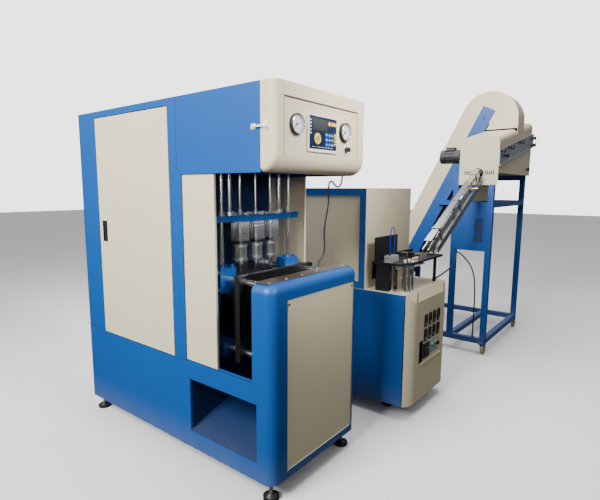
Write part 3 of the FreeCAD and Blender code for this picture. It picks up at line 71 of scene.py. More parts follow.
# place, aim, size, power and spread in degrees
lights = {"keyLight": ((-4.1, 0.7, 4.3), (0.2, 0.9, 2.1), 2.6, 250, 100),
          "topLight": ((1.8, 0.4, 4.8), (1.8, 0.5, 0), 3.5, 190, 180),
          "frontLight": ((0.5, -2.6, 3.6), (0.55, 0.0, 2.05), 1.0, 16, 34),
          "bayLight": ((-1.2, -1.9, 1.75), (0.35, 0.4, 1.26), 0.4, 0.8, 24)}

yaw, pitch = radians(view["yaw"]), radians(view["pitch"])
forward = Vector((sin(yaw) * cos(pitch), cos(yaw) * cos(pitch), sin(pitch)))
lens = bpy.data.cameras.new("camera")
lens.lens, lens.shift_x, lens.shift_y = view["lens"], view["shiftX"], view["shiftY"]
lens.clip_start, lens.clip_end = 0.05, 100
camera = bpy.data.objects.new("camera", lens)
turn = forward.to_track_quat("-Z", "Y").to_matrix() @ Matrix.Rotation(radians(view["roll"]), 3, "Z")
camera.matrix_world = Matrix.Translation(view["place"]) @ turn.to_4x4()
show(camera)
bpy.context.scene.camera = camera


def softLight(name, place, aim, size, power, spread):
    lamp = bpy.data.lights.new(name, "AREA")
    lamp.size, lamp.energy, lamp.spread = size, power, radians(spread)
    light = bpy.data.objects.new(name, lamp)
    light.location = place
    light.rotation_euler = (Vector(aim) - Vector(place)).to_track_quat("-Z", "Y").to_euler()
    show(light)


for name, facts in lights.items():
    softLight(name, *facts)


# ---- shader and geometry trees are written as expressions on this class
class Wire:
    def __init__(self, tree, socket=None):
        self.tree, self.socket = tree, socket

    def add(self, kind, values=None, out=0, **settings):
        made = self.tree.nodes.new(kind)
        for name, value in settings.items():
            setattr(made, name, value)
        for name, value in (values or {}).items():
            if isinstance(value, Wire):
                self.tree.links.new(value.socket, made.inputs[name])
            else:
                made.inputs[name].default_value = value
        return Wire(self.tree, made.outputs[out])

    def math(self, operation, first, second):
        return self.add("ShaderNodeMath", {0: first, 1: second}, operation=operation)

    def __add__(self, other):
        return self.math("ADD", self, other)

    def __sub__(self, other):
        return self.math("SUBTRACT", self, other)

    def __rsub__(self, other):
        return self.math("SUBTRACT", other, self)

    def __mul__(self, other):
        return self.math("MULTIPLY", self, other)

    def __gt__(self, other):
        return self.math("GREATER_THAN", self, other)

    def __lt__(self, other):
        return self.math("LESS_THAN", self, other)

    __rmul__ = __mul__

    def vector(self, operation, other, out=0):
        return self.add("ShaderNodeVectorMath", {0: self, 1: other}, out, operation=operation)

    def mix(self, low, high):
        return self.add("ShaderNodeMix", {0: self, 6: low, 7: high}, 2, data_type="RGBA")

    def rise(self, low, high):
        return self.add("ShaderNodeMapRange", {"Value": self, "From Min": low, "From Max": high},
                        interpolation_type="SMOOTHSTEP")

    def part(self, letter):
        return self.add("ShaderNodeSeparateXYZ", {0: self}, "XYZ".index(letter))

    def stretched(self, scale, turn=(0, 0, 0)):
        return self.add("ShaderNodeMapping", {"Vector": self, "Rotation": turn, "Scale": scale})

    def noise(self, scale, detail=2.0, roughness=0.5):
        return self.add("ShaderNodeTexNoise",
                        {"Vector": self, "Scale": scale, "Detail": detail, "Roughness": roughness})


def shade(colour, factor):
    return tuple(c * factor for c in colour[:3]) + (1,)


def surface(name, recipe):
    made = bpy.data.materials.new(name)
    made.use_nodes = True
    tree = made.node_tree
    shader = tree.nodes["Principled BSDF"]
    start = Wire(tree)
    result = recipe(start, start.add("ShaderNodeTexCoord", out=3))
    for key, socket in (("colour", "Base Color"), ("rough", "Roughness"), ("metal", "Metallic"),
                        ("coat", "Coat Weight"), ("alpha", "Alpha")):
        value = result.get(key)
        if isinstance(value, Wire):
            tree.links.new(value.socket, shader.inputs[socket])
        elif value is not None:
            shader.inputs[socket].default_value = value
    if "height" in result:
        bump = start.add("ShaderNodeBump",
                         {"Height": result["height"], "Strength": 1.0, "Distance": 0.001})
        tree.links.new(bump.socket, shader.inputs["Normal"])
    return made


# each recipe gives colour and roughness, and metal and height (in millimetres of bump) where it has them
def powderCoat(colour, rough=0.42, dust=0.30):
    def recipe(start, pos):
        cloud = pos.noise(1.7, 3.0)
        smudge = pos.noise(7.0, 5.0, 0.6)
        peel = pos.noise(420.0, 2.0)
        speck = pos.noise(1500.0, 1.0)
        tone = cloud.mix(shade(colour, 0.93), shade(colour, 1.05))
        handled = smudge.rise(0.45, 0.85) * 0.08
        tone = handled.mix(tone, shade(colour, 0.80))
        low = pos.part("Z").rise(0.30, 0.02) * (smudge * 0.4 + 0.3) * dust
        tone = low.mix(tone, (0.42, 0.38, 0.32, 1))
        return {"colour": tone, "rough": smudge * 0.14 + (rough - 0.07), "coat": 0.05,
                "height": peel * 0.045 + speck * 0.012}
    return recipe


def bareMetal(colour, rough=0.25, along="Z", grain=1.0, blotch=0.12):
    squeeze = {"X": (3, 260, 260), "Y": (260, 3, 260), "Z": (260, 260, 3)}[along]

    def recipe(start, pos):
        streak = pos.stretched(squeeze).noise(1.0, 4.0, 0.65)
        patch = pos.noise(11.0, 4.0, 0.6)
        tone = streak.mix(shade(colour, 0.82), shade(colour, 1.1))
        tone = (patch.rise(0.5, 0.75) * blotch).mix(tone, shade(colour, 0.45))
        return {"colour": tone, "rough": streak * 0.12 + patch * 0.1 + (rough - 0.1), "metal": 1.0,
                "height": streak * 0.02 * grain}
    return recipe


def zincPlate(colour=(0.56, 0.57, 0.58), rough=0.34):
    def recipe(start, pos):
        flower = pos.add("ShaderNodeTexVoronoi", {"Vector": pos, "Scale": 95.0}, 1, feature="F1")
        flake = flower.part("X")
        dull = pos.noise(14.0, 4.0)
        tone = flake.mix(shade(colour, 0.78), shade(colour, 1.12))
        return {"colour": (dull.rise(0.5, 0.8) * 0.35).mix(tone, (0.36, 0.35, 0.33, 1)),
                "rough": flake * 0.16 + dull * 0.14 + (rough - 0.12), "metal": 0.92,
                "height": flake * 0.012}
    return recipe


def blackened(colour=(0.018, 0.018, 0.02), rough=0.42):
    def recipe(start, pos):
        patch = pos.noise(16.0, 5.0, 0.62)
        pit = pos.noise(260.0, 3.0)
        rub = pos.stretched((40, 400, 40), (0.2, 0.4, 0.3)).noise(1.0, 3.0)
        tone = patch.mix(shade(colour, 0.7), shade(colour, 1.7))
        tone = (rub.rise(0.66, 0.8) * 0.5).mix(tone, (0.17, 0.155, 0.14, 1))
        return {"colour": tone, "rough": patch * 0.22 + (rough - 0.1), "metal": 0.55,
                "height": pit * 0.05 + rub * 0.015}
    return recipe


def mouldedPlastic(colour, rough=0.45, grain=0.05):
    def recipe(start, pos):
        texture = pos.noise(650.0, 2.0)
        cloud = pos.noise(9.0, 3.0)
        tone = cloud.mix(shade(colour, 0.88), shade(colour, 1.08))
        return {"colour": tone, "rough": cloud * 0.12 + (rough - 0.06),
                "height": texture * grain}
    return recipe


def castIron(colour=(0.035, 0.036, 0.038)):
    def recipe(start, pos):
        sand = pos.noise(330.0, 4.0, 0.7)
        cloud = pos.noise(12.0, 4.0)
        tone = cloud.mix(shade(colour, 0.75), shade(colour, 1.35))
        tone = (sand.rise(0.62, 0.75) * 0.25).mix(tone, (0.12, 0.12, 0.12, 1))
        return {"colour": tone, "rough": cloud * 0.2 + 0.38, "metal": 0.2, "height": sand * 0.16}
    return recipe


def groundSteel(colour=(0.10, 0.105, 0.115)):
    def recipe(start, pos):
        one = pos.stretched((500, 500, 6), (0, 0.7, 0)).noise(1.0, 2.0)
        two = pos.stretched((500, 500, 6), (0, -0.7, 0)).noise(1.0, 2.0)
        stain = pos.noise(13.0, 5.0, 0.6)
        tone = (one * two).rise(0.15, 0.4).mix(shade(colour, 0.7), shade(colour, 1.4))
        tone = (stain.rise(0.5, 0.7) * 0.5).mix(tone, (0.035, 0.03, 0.028, 1))
        return {"colour": tone, "rough": stain * 0.2 + 0.24, "metal": 0.9, "height": one * 0.03 + two * 0.03}
    return recipe


def beltRubber(colour=(0.012, 0.022, 0.018)):
    def recipe(start, pos):
        weave = pos.stretched((900, 900, 900)).noise(1.0, 1.0)
        chalk = pos.noise(18.0, 5.0, 0.65)
        tone = (chalk.rise(0.5, 0.8) * 0.4).mix(shade(colour, 1.0), (0.05, 0.06, 0.055, 1))
        return {"colour": tone, "rough": chalk * 0.15 + 0.5, "height": weave * 0.12}
    return recipe


def glossy(low, high, scale, rough, relief, alpha=1.0):
    def recipe(start, pos):
        cloud = pos.noise(scale, 3.0)
        return {"colour": cloud.mix(low, high), "rough": cloud * 0.1 + rough, "alpha": alpha,
                "height": cloud * relief}
    return recipe


def plainGloss(colour, rough=0.12, alpha=1.0):
    return glossy(shade(colour, 0.94), shade(colour, 1.04), 30.0, rough - 0.03, 0.004, alpha)


def inBox(place, low, high):
    # 1 inside the box between two corners, in a machine's own metres
    low, high = place(*low), place(*high)

    def mask(pos):
        away = pos.vector("SUBTRACT", tuple((low + high) / 2)).vector("ABSOLUTE", (0, 0, 0))
        away = away.vector("SUBTRACT", tuple((high - low) / 2))
        worst = away.math("MAXIMUM", away.part("X"), away.math("MAXIMUM", away.part("Y"), away.part("Z")))
        return worst < 0.0
    return mask


def beyond(letter, level):
    return lambda pos: pos.part(letter) > level


def short(letter, level):
    return lambda pos: pos.part(letter) < level


def alongDirection(direction, level):
    # 1 where the place's share along a direction is above a level
    direction = tuple(Vector(direction).normalized())
    return lambda pos: pos.vector("DOT_PRODUCT", direction, 1) > level


def nearAxis(place, axis, radius):
    keep = tuple(0 if letter == axis else 1 for letter in "XYZ")

    def mask(pos):
        away = pos.vector("SUBTRACT", tuple(place)).vector("MULTIPLY", keep)
        return away.vector("LENGTH", (0, 0, 0), 1) < radius
    return mask


def patched(first, *patches):
    # a recipe with others laid over it where their masks say
    def recipe(start, pos):
        result = dict(first(start, pos))
        for mask, other in patches:
            where, over = mask(pos), other(start, pos)
            result["colour"] = where.mix(result["colour"], over["colour"])
            for key in ("rough", "metal", "height"):
                under, upper = result.get(key, 0.0), over.get(key, 0.0)
                if isinstance(under, Wire) or isinstance(upper, Wire):
                    result[key] = under * (1 - where) + upper * where
                else:
                    result[key] = where * (upper - under) + under
            result.pop("coat", None)
        return result
    return recipe


finish = {"blue": (0.003, 0.074, 0.300), "beige": (0.700, 0.620, 0.425), "cream": (0.78, 0.72, 0.58),
          "steel": (0.62, 0.62, 0.63), "chrome": (0.86, 0.86, 0.87), "brass": (0.72, 0.50, 0.20),
          "aluminium": (0.78, 0.79, 0.81), "black": (0.016, 0.016, 0.017), "white": (0.82, 0.81, 0.78)}

bluePart = powderCoat(finish["blue"])
beigePart = powderCoat(finish["beige"], 0.40)
creamPart = mouldedPlastic(finish["cream"], 0.38, 0.03)
blackPart = mouldedPlastic(finish["black"], 0.42, 0.06)
greyPart = mouldedPlastic((0.40, 0.41, 0.42), 0.45, 0.03)
chromePart = bareMetal(finish["chrome"], 0.16, "Z", 0.12, 0.05)
steelPart = bareMetal(finish["steel"], 0.30, "Z")
aluminiumPart = bareMetal(finish["aluminium"], 0.24, "Z", 0.12)
brassPart = bareMetal(finish["brass"], 0.24, "Y", 0.8)
bluishPlate = bareMetal((0.42, 0.48, 0.56), 0.36, "X", 0.8)
chuteSheet = bareMetal((0.36, 0.365, 0.38), 0.34, "X", 1.0, 0.35)
# dark navy that paints shade into recesses: inside the outlet, on the back of the blow bay and behind the box
# louvres
navyPaintedShade = powderCoat((0.002, 0.020, 0.085), 0.5)

blue = surface("bluePowderCoat", bluePart)
beige = surface("beigePowderCoat", beigePart)
cream = surface("creamPlastic", creamPart)
chrome = surface("hardChrome", chromePart)
chromeAcross = surface("hardChromeBars", bareMetal(finish["chrome"], 0.18, "Y", 0.12, 0.10))
stainless = surface("brushedStainless", steelPart)
aluminium = surface("anodisedAluminium", aluminiumPart)
zinc = surface("zincPlate", zincPlate())
brass = surface("turnedBrass", brassPart)
blackSteel = surface("blackenedSteel", blackened())
toolSteel = surface("groundToolSteel", groundSteel())
blackPlastic = surface("blackPlastic", blackPart)
whitePlastic = surface("whiteNylon", mouldedPlastic(finish["white"], 0.34, 0.02))
iron = surface("castMotorHousing", castIron())
belt = surface("conveyorBelt", beltRubber())
darkSteel = surface("darkPlate", bareMetal((0.055, 0.056, 0.060), 0.46, "Z", 1.0, 0.3))
print("finishes made")

# CAD nodes of one finish throughout
plainNodes = {
    "side_skins back_and_roof crosshead tie_blocks bench_cover tunnel_frame": blue,
    "feeder_frame elevator_channel": blue,
    "left_guard right_guard head_cover tunnel_panels unscrambler_cover elevator_housing": beige,
    "switch_key left_needle right_needle selector_knob": blackPlastic, "clamp_unit": blackSteel,
    "stretch_rods": chrome, "guide_bars": chromeAcross, "front_mould": darkSteel, "rear_mould": toolSteel,
    "loader_pusher": aluminium, "preform_spindles": whitePlastic, "drive_motor": iron,
    "elevator_belt": belt, "front_roller back_roller foot_drum": stainless,
    "front_left_fork front_right_fork": zinc}


# ---- cords: points are the route's own, in metres
def cordLine(name, points, diameter, body, material, node, **facts):
    curve = bpy.data.curves.new(name, "CURVE")
    curve.dimensions = "3D"
    curve.bevel_depth, curve.bevel_resolution, curve.resolution_u = diameter / 2, 4, 8
    curve.use_fill_caps = True
    line = curve.splines.new("NURBS")
    line.points.add(len(points) - 1)
    for point, place in zip(line.points, points):
        point.co = (*place, 1)
    line.order_u = 3
    line.use_endpoint_u = True
    curve.materials.append(material)
    made = bpy.data.objects.new(name, curve)
    show(made)
    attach(made, body)
    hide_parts(node)
    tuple(points[0])
    return made


headCable = {"diameter": 0.009, "length": 0.640, "points": [
    (0.620, 0.020, 1.574), (0.620, 0.020, 1.548), (0.609, 0.020, 1.520), (0.584, 0.020, 1.505),
    (0.557, 0.020, 1.511), (0.537, 0.022, 1.530), (0.518, 0.024, 1.539), (0.502, 0.025, 1.528),
    (0.497, 0.026, 1.500), (0.503, 0.027, 1.459), (0.503, 0.029, 1.412), (0.493, 0.032, 1.360),
    (0.481, 0.036, 1.304), (0.482, 0.040, 1.250), (0.494, 0.043, 1.200), (0.497, 0.048, 1.154),
    (0.480, 0.055, 1.122), (0.462, 0.060, 1.103), (0.458, 0.062, 1.079)]}
airTube = {"diameter": 0.006, "length": 0.369, "points": [
    (1.135, -0.025, 1.083), (1.135, -0.025, 1.126), (1.132, -0.025, 1.174), (1.138, -0.025, 1.222),
    (1.155, -0.024, 1.253), (1.181, -0.024, 1.253), (1.197, -0.025, 1.222), (1.201, -0.025, 1.174),
    (1.197, -0.025, 1.126), (1.197, -0.025, 1.083)]}
powerCable = {"diameter": 0.012, "length": 1.858, "points": [
    (1.700, -0.106, 0.848), (1.738, -0.106, 0.848), (1.796, -0.110, 0.857), (1.890, -0.108, 0.866),
    (2.010, -0.096, 0.873), (2.150, -0.076, 0.880), (2.300, -0.044, 0.892), (2.440, 0.000, 0.908),
    (2.560, 0.046, 0.924), (2.652, 0.074, 0.932), (2.708, 0.074, 0.922), (2.736, 0.044, 0.894),
    (2.744, 0.002, 0.852), (2.742, -0.040, 0.798), (2.736, -0.070, 0.728), (2.726, -0.088, 0.640),
    (2.716, -0.096, 0.540), (2.709, -0.099, 0.430), (2.705, -0.101, 0.330), (2.703, -0.100, 0.250),
    (2.704, -0.100, 0.196), (2.704, -0.100, 0.160)]}


def cableJacket(start, pos):
    dust = pos.noise(60.0, 4.0)
    grain = pos.noise(900.0, 2.0)
    return {"colour": dust.rise(0.4, 0.8).mix((0.012, 0.012, 0.013, 1), (0.035, 0.034, 0.032, 1)),
            "rough": dust * 0.2 + 0.38, "height": grain * 0.05}


cableRubber = surface("cableRubber", cableJacket)
airHose = surface("blueAirHose", glossy((0.008, 0.05, 0.42, 1), (0.012, 0.08, 0.60, 1), 40.0, 0.18, 0.01))
for name, cord, material, node, stiffness in (
        ("headCable", headCable, cableRubber, "head_cable", "medium"),
        ("airTube", airTube, airHose, "air_tube", "stiff"),
        ("powerCable", powerCable, cableRubber, "power_cable", "medium")):
    cordLine(name, cord["points"], cord["diameter"], "line", material, node,
             length=cord["length"], stiffness=stiffness, lay="hanging")
print("cords laid")


# ---- mixed CAD nodes: one recipe, with others laid over it where a mask says
def dress(node, material):
    data = nodes[node].data
    data.materials.clear()
    data.materials.append(material)


def mixed(node, name, first, *patches):
    dress(node, surface(name, patched(first, *patches)))


chuteFall = 0.532
chuteDown, chuteUp = Vector((-1, 0, -chuteFall)).normalized(), Vector((-chuteFall, 0, 1)).normalized()
chuteTop = onFeeder(-0.003, -0.017, 1.632)


def onChute(along, side, up):
    return chuteTop + chuteDown * along + chuteUp * up + Vector((0, side, 0))


beltAngle = radians(63.3)


def onBelt(x, across, along):
    c, s = cos(beltAngle), sin(beltAngle)
    return onFeeder(x, 0.088 + across * s + along * c, 2.163 + across * c - along * s)


def wornBench(start, pos):
    # dark brown at the left, rubbed bright towards the right
    result = blackened((0.055, 0.032, 0.022), 0.34)(start, pos)
    steel = bareMetal((0.45, 0.44, 0.43), 0.28, "X")(start, pos)
    rubbed = (pos.part("X") + pos.noise(9.0, 4.0) * 0.5).rise(0.45, 0.95)
    for key in ("rough", "height"):
        result[key] = result[key] * (1 - rubbed) + steel[key] * rubbed
    result["colour"] = rubbed.mix(result["colour"], steel["colour"])
    result["metal"] = rubbed * 0.4 + 0.55
    return result


quartz = glossy((0.62, 0.30, 0.20, 1), (0.80, 0.62, 0.52, 1), 22.0, 0.12, 0.01)
handleBox = inBox(onMachine, (-0.001, 1.333, 1.171), (0.05, 1.385, 1.299))
doorHandleBox = inBox(onHeater, (0.164, -0.15, 0.349), (0.223, -0.120, 0.501))
screenBox = inBox(onMachine, (0.2, -0.06, 1.65), (0.48, 0.02, 1.85))
screenInner = inBox(onMachine, (0.2297, -0.0255, 1.6797), (0.4533, 0.02, 1.8283))
keyBox = inBox(onMachine, (0.52, -0.06, 1.66), (0.59, 0.02, 1.73))
panelScrews = [(inBox(onMachine, (x - 0.009, 0.0, 0.95), (x + 0.009, 0.0059, 0.975)), brassPart)
               for x in (0.128, 0.682)]
reflectorPart = bareMetal(finish["aluminium"], 0.14, "Y", 0.5)
reflectors = [(inBox(onHeater, (x0, 0.2, 0.8), (x1, 1.4, 1.3)), reflectorPart)
              for x0, x1 in ((0.146, 0.1541), (0.5009, 0.509))]

mixed("side_door", "doorAndHandle", beigePart, (handleBox, blackPart))
mixed("heater_door", "heaterDoorAndHandle", beigePart, (doorHandleBox, blackPart))
mixed("bench_panel", "panelAndScrews", beigePart, *panelScrews)
mixed("head_instruments", "instrumentCases", blackPart, (screenBox, creamPart), (screenInner, blackPart),
      (keyBox, chromePart))
mixed("blow_heads", "blowHeads", aluminiumPart, (short("Z", 1.221), blackPart),
      (short("Z", 1.2052), chromePart), (beyond("Z", 1.3588), chromePart))
dress("bench_top", surface("wornBenchTop", wornBench))
mixed("electrical_plate", "controlModules", zincPlate(),
      (short("X", onMachine(0.4118, 0, 0).x), greyPart),
      (inBox(onMachine, (0.34, 0.8, 1.15), (0.412, 1.4, 1.52)), blackPart))
mixed("heat_controllers", "controllerCases", blackPart,
      (inBox(onHeater, (0.333, -0.1425, 0.37), (0.503, -0.13, 0.47)), greyPart),
      (inBox(onHeater, (0.36, -0.149, 0.41), (0.47, -0.1422, 0.45)), chromePart))
dress("start_button", surface("greenButton", plainGloss((0.01, 0.30, 0.07), 0.18)))
mixed("heating_lamps", "lampBanks", mouldedPlastic((0.80, 0.78, 0.72), 0.5, 0.08),
      (inBox(onHeater, (0.14, 0.2964, 0.80), (0.52, 1.2936, 1.30)), quartz), *reflectors)
mixed("loader_frame", "loaderParts", blackened(),
      (inBox(onHeater, (0.021, 0.009, 1.0292), (0.131, 0.061, 1.0712)),
       bareMetal(finish["aluminium"], 0.4, "X", 1.0)),
      (inBox(onHeater, (0.149, -0.089, 1.0292), (0.206, -0.065, 1.042)),
       plainGloss((0.8, 0.8, 0.78), 0.3)),
      (inBox(onHeater, (0.149, -0.089, 1.0419), (0.206, -0.065, 1.052)),
       plainGloss((0.85, 0.30, 0.02), 0.3)))

# hand knobs on the slanting side plate: distance along it and height above its lower edge
knobSpots = ((0.060, 0.120), (0.330, 0.112), (0.170, 0.062), (0.700, 0.112), (1.190, 0.090), (1.200, 0.020))
plateEdge = {"height": 1.697, "slope": 0.2}
sideKnobs = [onFeeder(x, 0, plateEdge["height"] + plateEdge["slope"] * x + up) for x, up in knobSpots]
sideKnobs.append(onFeeder(1.010, 0, 1.700))


def knobMask(spot):
    near, outside = nearAxis(spot, "Y", 0.0136), short("Y", onFeeder(0, -0.1841, 0).y)
    return lambda pos: near(pos) * outside(pos)


mixed("unscrambler", "unscramblerSheets", beigePart,
      (short("Y", onFeeder(0, -0.1805, 0).y), bluishPlate),
      (beyond("X", onFeeder(1.1605, 0, 0).x), bluishPlate),
      *[(knobMask(spot), blackPart) for spot in sideKnobs])
mixed("head_drum", "drumAndShaft", steelPart, (short("X", onFeeder(0.5605, 0, 0).x), blackPart),
      (beyond("X", onFeeder(0.7995, 0, 0).x), blackPart))
# painted shade on the control boxes: dark navy behind the louvres, and a black strip at the right end of the
# beige box
mixed("control_boxes", "controlBoxes", bluePart, (beyond("Z", 1.37), beigePart),
      (inBox(onFeeder, (-0.009, -0.082, 1.035), (-0.00205, -0.008, 1.260)), navyPaintedShade),
      (inBox(onFeeder, (0.60, 0.05, 1.37), (0.72, 0.2, 1.60)), blackPart))
mixed("heater_base", "cabinetAndDeck", bluePart, (beyond("Z", 0.8355), beigePart))
# painted shade: the back of the blow bay, behind the cylinders, is dark navy
mixed("cabinet_frame", "frameAndBayBackPaintedShade", bluePart,
      (inBox(onMachine, (0.02, 0.62, 0.60), (0.735, 0.6535, 1.62)), navyPaintedShade))
# painted shade: the whole outlet tray is dark navy for the shadow inside the outlet
dress("outlet_tray", surface("outletPaintedShade", navyPaintedShade))
mixed("feed_chute", "chuteParts", chuteSheet,
      (alongDirection(chuteUp, chuteTop.dot(chuteUp) - 0.006), bareMetal(finish["steel"], 0.2, "X", 0.6)))
mixed("levelling_feet", "levellingFeet", zincPlate(), (short("Z", 0.0301), blackPart))

tyreRecipe = mouldedPlastic((0.62, 0.52, 0.22), 0.30, 0.03)
for wheel in ("front_left_wheel", "front_right_wheel", "back_left_wheel", "back_right_wheel"):
    low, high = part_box(wheel)
    mixed(wheel, wheel + "Finish", tyreRecipe, (nearAxis((low + high) / 2, "Y", 0.028), greyPart))
for names, material in plainNodes.items():
    for node in names.split():
        dress(node, material)
print("CAD nodes dressed")


# ---- mesh helpers
sharpAngle = 35


class Shape:
    def __init__(self):
        self.mesh = bmesh.new()

    def box(self, low, high, soften=0.0):
        low, high = Vector(low), Vector(high)
        corners = bmesh.ops.create_cube(self.mesh, size=1.0)["verts"]
        for corner in corners:
            corner.co = Vector([corner.co[k] * (high[k] - low[k]) for k in range(3)])
        if soften:
            edges = list({edge for corner in corners for edge in corner.link_edges})
            made = bmesh.ops.bevel(self.mesh, geom=edges, offset=soften, segments=2, profile=0.5,
                                   affect="EDGES")
            corners = list({corner for face in made["faces"] for corner in face.verts})
        bmesh.ops.transform(self.mesh, matrix=Matrix.Translation((low + high) / 2), verts=corners)
        return self

    def lathe(self, start, direction, profile, sides=32, closed=False, lobes=0, depth=0.0):
        # profile is pairs of distance along the axis and radius; lobes scallop it
        turn = Vector(direction).to_track_quat("Z", "Y").to_matrix()
        rings = []
        for along, radius in profile:
            count = sides if radius > 0 else 1
            ring = []
            for k in range(count):
                angle = 2 * pi * k / sides
                r = radius * (1 + depth * cos(lobes * angle)) if lobes else radius
                ring.append(self.mesh.verts.new(
                    Vector(start) + turn @ Vector((r * cos(angle), r * sin(angle), along))))
            rings.append(ring)
        pairs = list(zip(rings, rings[1:])) + ([(rings[-1], rings[0])] if closed else [])
        for one, two in pairs:
            for k in range(sides):
                n = (k + 1) % sides
                corners = [one[k % len(one)], one[n % len(one)], two[n % len(two)], two[k % len(two)]]
                corners = list(dict.fromkeys(corners))
                if len(corners) > 2:
                    self.mesh.faces.new(corners)
        return self

    def slab(self, outline, push):
        # a flat outline pushed along a vector
        under = [self.mesh.verts.new(Vector(p)) for p in outline]
        over = [self.mesh.verts.new(Vector(p) + Vector(push)) for p in outline]
        self.mesh.faces.new(under[::-1])
        self.mesh.faces.new(over)
        for k in range(len(under)):
            n = (k + 1) % len(under)
            self.mesh.faces.new([under[k], under[n], over[n], over[k]])
        return self

    def piece(self, name, material, body="line"):
        bmesh.ops.recalc_face_normals(self.mesh, faces=self.mesh.faces[:])
        data = bpy.data.meshes.new(name)
        self.mesh.to_mesh(data)
        self.mesh.free()
        data.materials.append(material)
        data.shade_smooth()
        data.set_sharp_from_angle(angle=radians(sharpAngle))
        return settle(bpy.data.objects.new(name, data), body)


def settle(made, body):
    show(made)
    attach(made, body)
    return made


def boxes(name, material, place, corners, soften=0.0, body="line"):
    # one piece of boxes, each given by two corners in its machine's own metres
    shape = Shape()
    for low, high in corners:
        shape.box(place(*low), place(*high), soften)
    return shape.piece(name, material, body)


def turned(name, material, spots, direction, profile, sides=32, body="line", **more):
    # one piece of equal turned shapes, one on each spot
    shape = Shape()
    for spot in spots:
        shape.lathe(spot, direction, profile, sides, **more)
    return shape.piece(name, material, body)


def newTree(name, **inputs):
    tree = bpy.data.node_groups.new(name, "GeometryNodeTree")
    for label, kind in {"Geometry": "Geometry", **inputs, "Material": "Material"}.items():
        tree.interface.new_socket(label.replace("_", " "), in_out="INPUT", socket_type="NodeSocket" + kind)
    tree.interface.new_socket("Geometry", in_out="OUTPUT", socket_type="NodeSocketGeometry")
    source = tree.nodes.new("NodeGroupInput")
    return Wire(tree), {s.name: Wire(tree, s) for s in source.outputs if s.name}


def closeTree(start, given, points, instance, **more):
    # puts the instance on every point, makes it real and paints it
    placed = start.add("GeometryNodeInstanceOnPoints", {"Points": points, "Instance": instance, **more})
    real = start.add("GeometryNodeRealizeInstances", {"Geometry": placed})
    painted = start.add("GeometryNodeSetMaterial", {"Geometry": real, "Material": given["Material"]})
    sink = start.tree.nodes.new("NodeGroupOutput")
    start.tree.links.new(painted.socket, sink.inputs[0])
    return start.tree


def boltTree():
    # a head with its washer on every point, all facing one way
    start, given = newTree("boltHeads", Sides="Int", Head_Radius="Float", Head_Height="Float",
                           Washer_Radius="Float", Washer_Height="Float", Facing="Vector")
    both = start.tree.nodes.new("GeometryNodeJoinGeometry")
    half = {part: given[part + " Height"] * 0.5 for part in ("Head", "Washer")}
    for part, sides, level in (("Head", given["Sides"], half["Head"] + given["Washer Height"]),
                               ("Washer", 20, half["Washer"])):
        disc = start.add("GeometryNodeMeshCylinder",
                         {"Vertices": sides, "Radius": given[part + " Radius"],
                          "Depth": given[part + " Height"]})
        lift = start.add("ShaderNodeCombineXYZ", {"Z": level})
        disc = start.add("GeometryNodeTransform", {"Geometry": disc, "Translation": lift})
        start.tree.links.new(disc.socket, both.inputs[0])
    turn = start.add("FunctionNodeAlignRotationToVector", {"Vector": given["Facing"]}, axis="Z")
    return closeTree(start, given, given["Geometry"], Wire(start.tree, both.outputs[0]), Rotation=turn)


def slatTree():
    # a straight row of equal slats
    start, given = newTree("slatRow", Count="Int", Start="Vector", Step="Vector", Size="Vector")
    row = start.add("GeometryNodeMeshLine", {"Count": given["Count"], "Start Location": given["Start"],
                                             "Offset": given["Step"]}, mode="OFFSET")
    slat = start.add("GeometryNodeMeshCube", {"Size": given["Size"]})
    return closeTree(start, given, row, slat)


def tickTree():
    # bars round part of a circle in the X-Z plane, each pointing at the middle
    start, given = newTree("dialTicks", Count="Int", Centre="Vector", Radius="Float",
                           First_Angle="Float", Step_Angle="Float", Size="Vector")
    row = start.add("GeometryNodeMeshLine", {"Count": given["Count"]}, mode="OFFSET")
    index = start.add("GeometryNodeInputIndex")
    angle = index * given["Step Angle"] + given["First Angle"]
    cosine = start.add("ShaderNodeMath", {0: angle}, operation="COSINE")
    sine = start.add("ShaderNodeMath", {0: angle}, operation="SINE")
    spot = start.add("ShaderNodeCombineXYZ", {"X": cosine * given["Radius"], "Z": sine * given["Radius"]})
    spot = spot.vector("ADD", given["Centre"])
    row = start.add("GeometryNodeSetPosition", {"Geometry": row, "Position": spot})
    turn = start.add("ShaderNodeCombineXYZ", {"Y": 0 - angle})
    turn = start.add("FunctionNodeEulerToRotation", {"Euler": turn})
    bar = start.add("GeometryNodeMeshCube", {"Size": given["Size"]})
    return closeTree(start, given, row, bar, Rotation=turn)


def springTree():
    # a coil spring on every point
    start, given = newTree("coilSprings", Turns="Float", Coil_Radius="Float", Wire_Radius="Float",
                           Height="Float")
    coil = start.add("GeometryNodeCurveSpiral",
                     {"Resolution": 20, "Rotations": given["Turns"], "Start Radius": given["Coil Radius"],
                      "End Radius": given["Coil Radius"], "Height": given["Height"]})
    section = start.add("GeometryNodeCurvePrimitiveCircle",
                        {"Resolution": 8, "Radius": given["Wire Radius"]})
    wire = start.add("GeometryNodeCurveToMesh",
                     {"Curve": coil, "Profile Curve": section, "Fill Caps": True})
    return closeTree(start, given, given["Geometry"], wire)


trees = {"bolts": boltTree(), "slats": slatTree(), "ticks": tickTree(), "springs": springTree()}


def meshOf(holder):
    # the evaluated mesh of a helper object, which is then removed
    show(holder)
    mesh = bpy.data.meshes.new_from_object(holder.evaluated_get(bpy.context.evaluated_depsgraph_get()))
    bpy.data.objects.remove(holder)
    return mesh


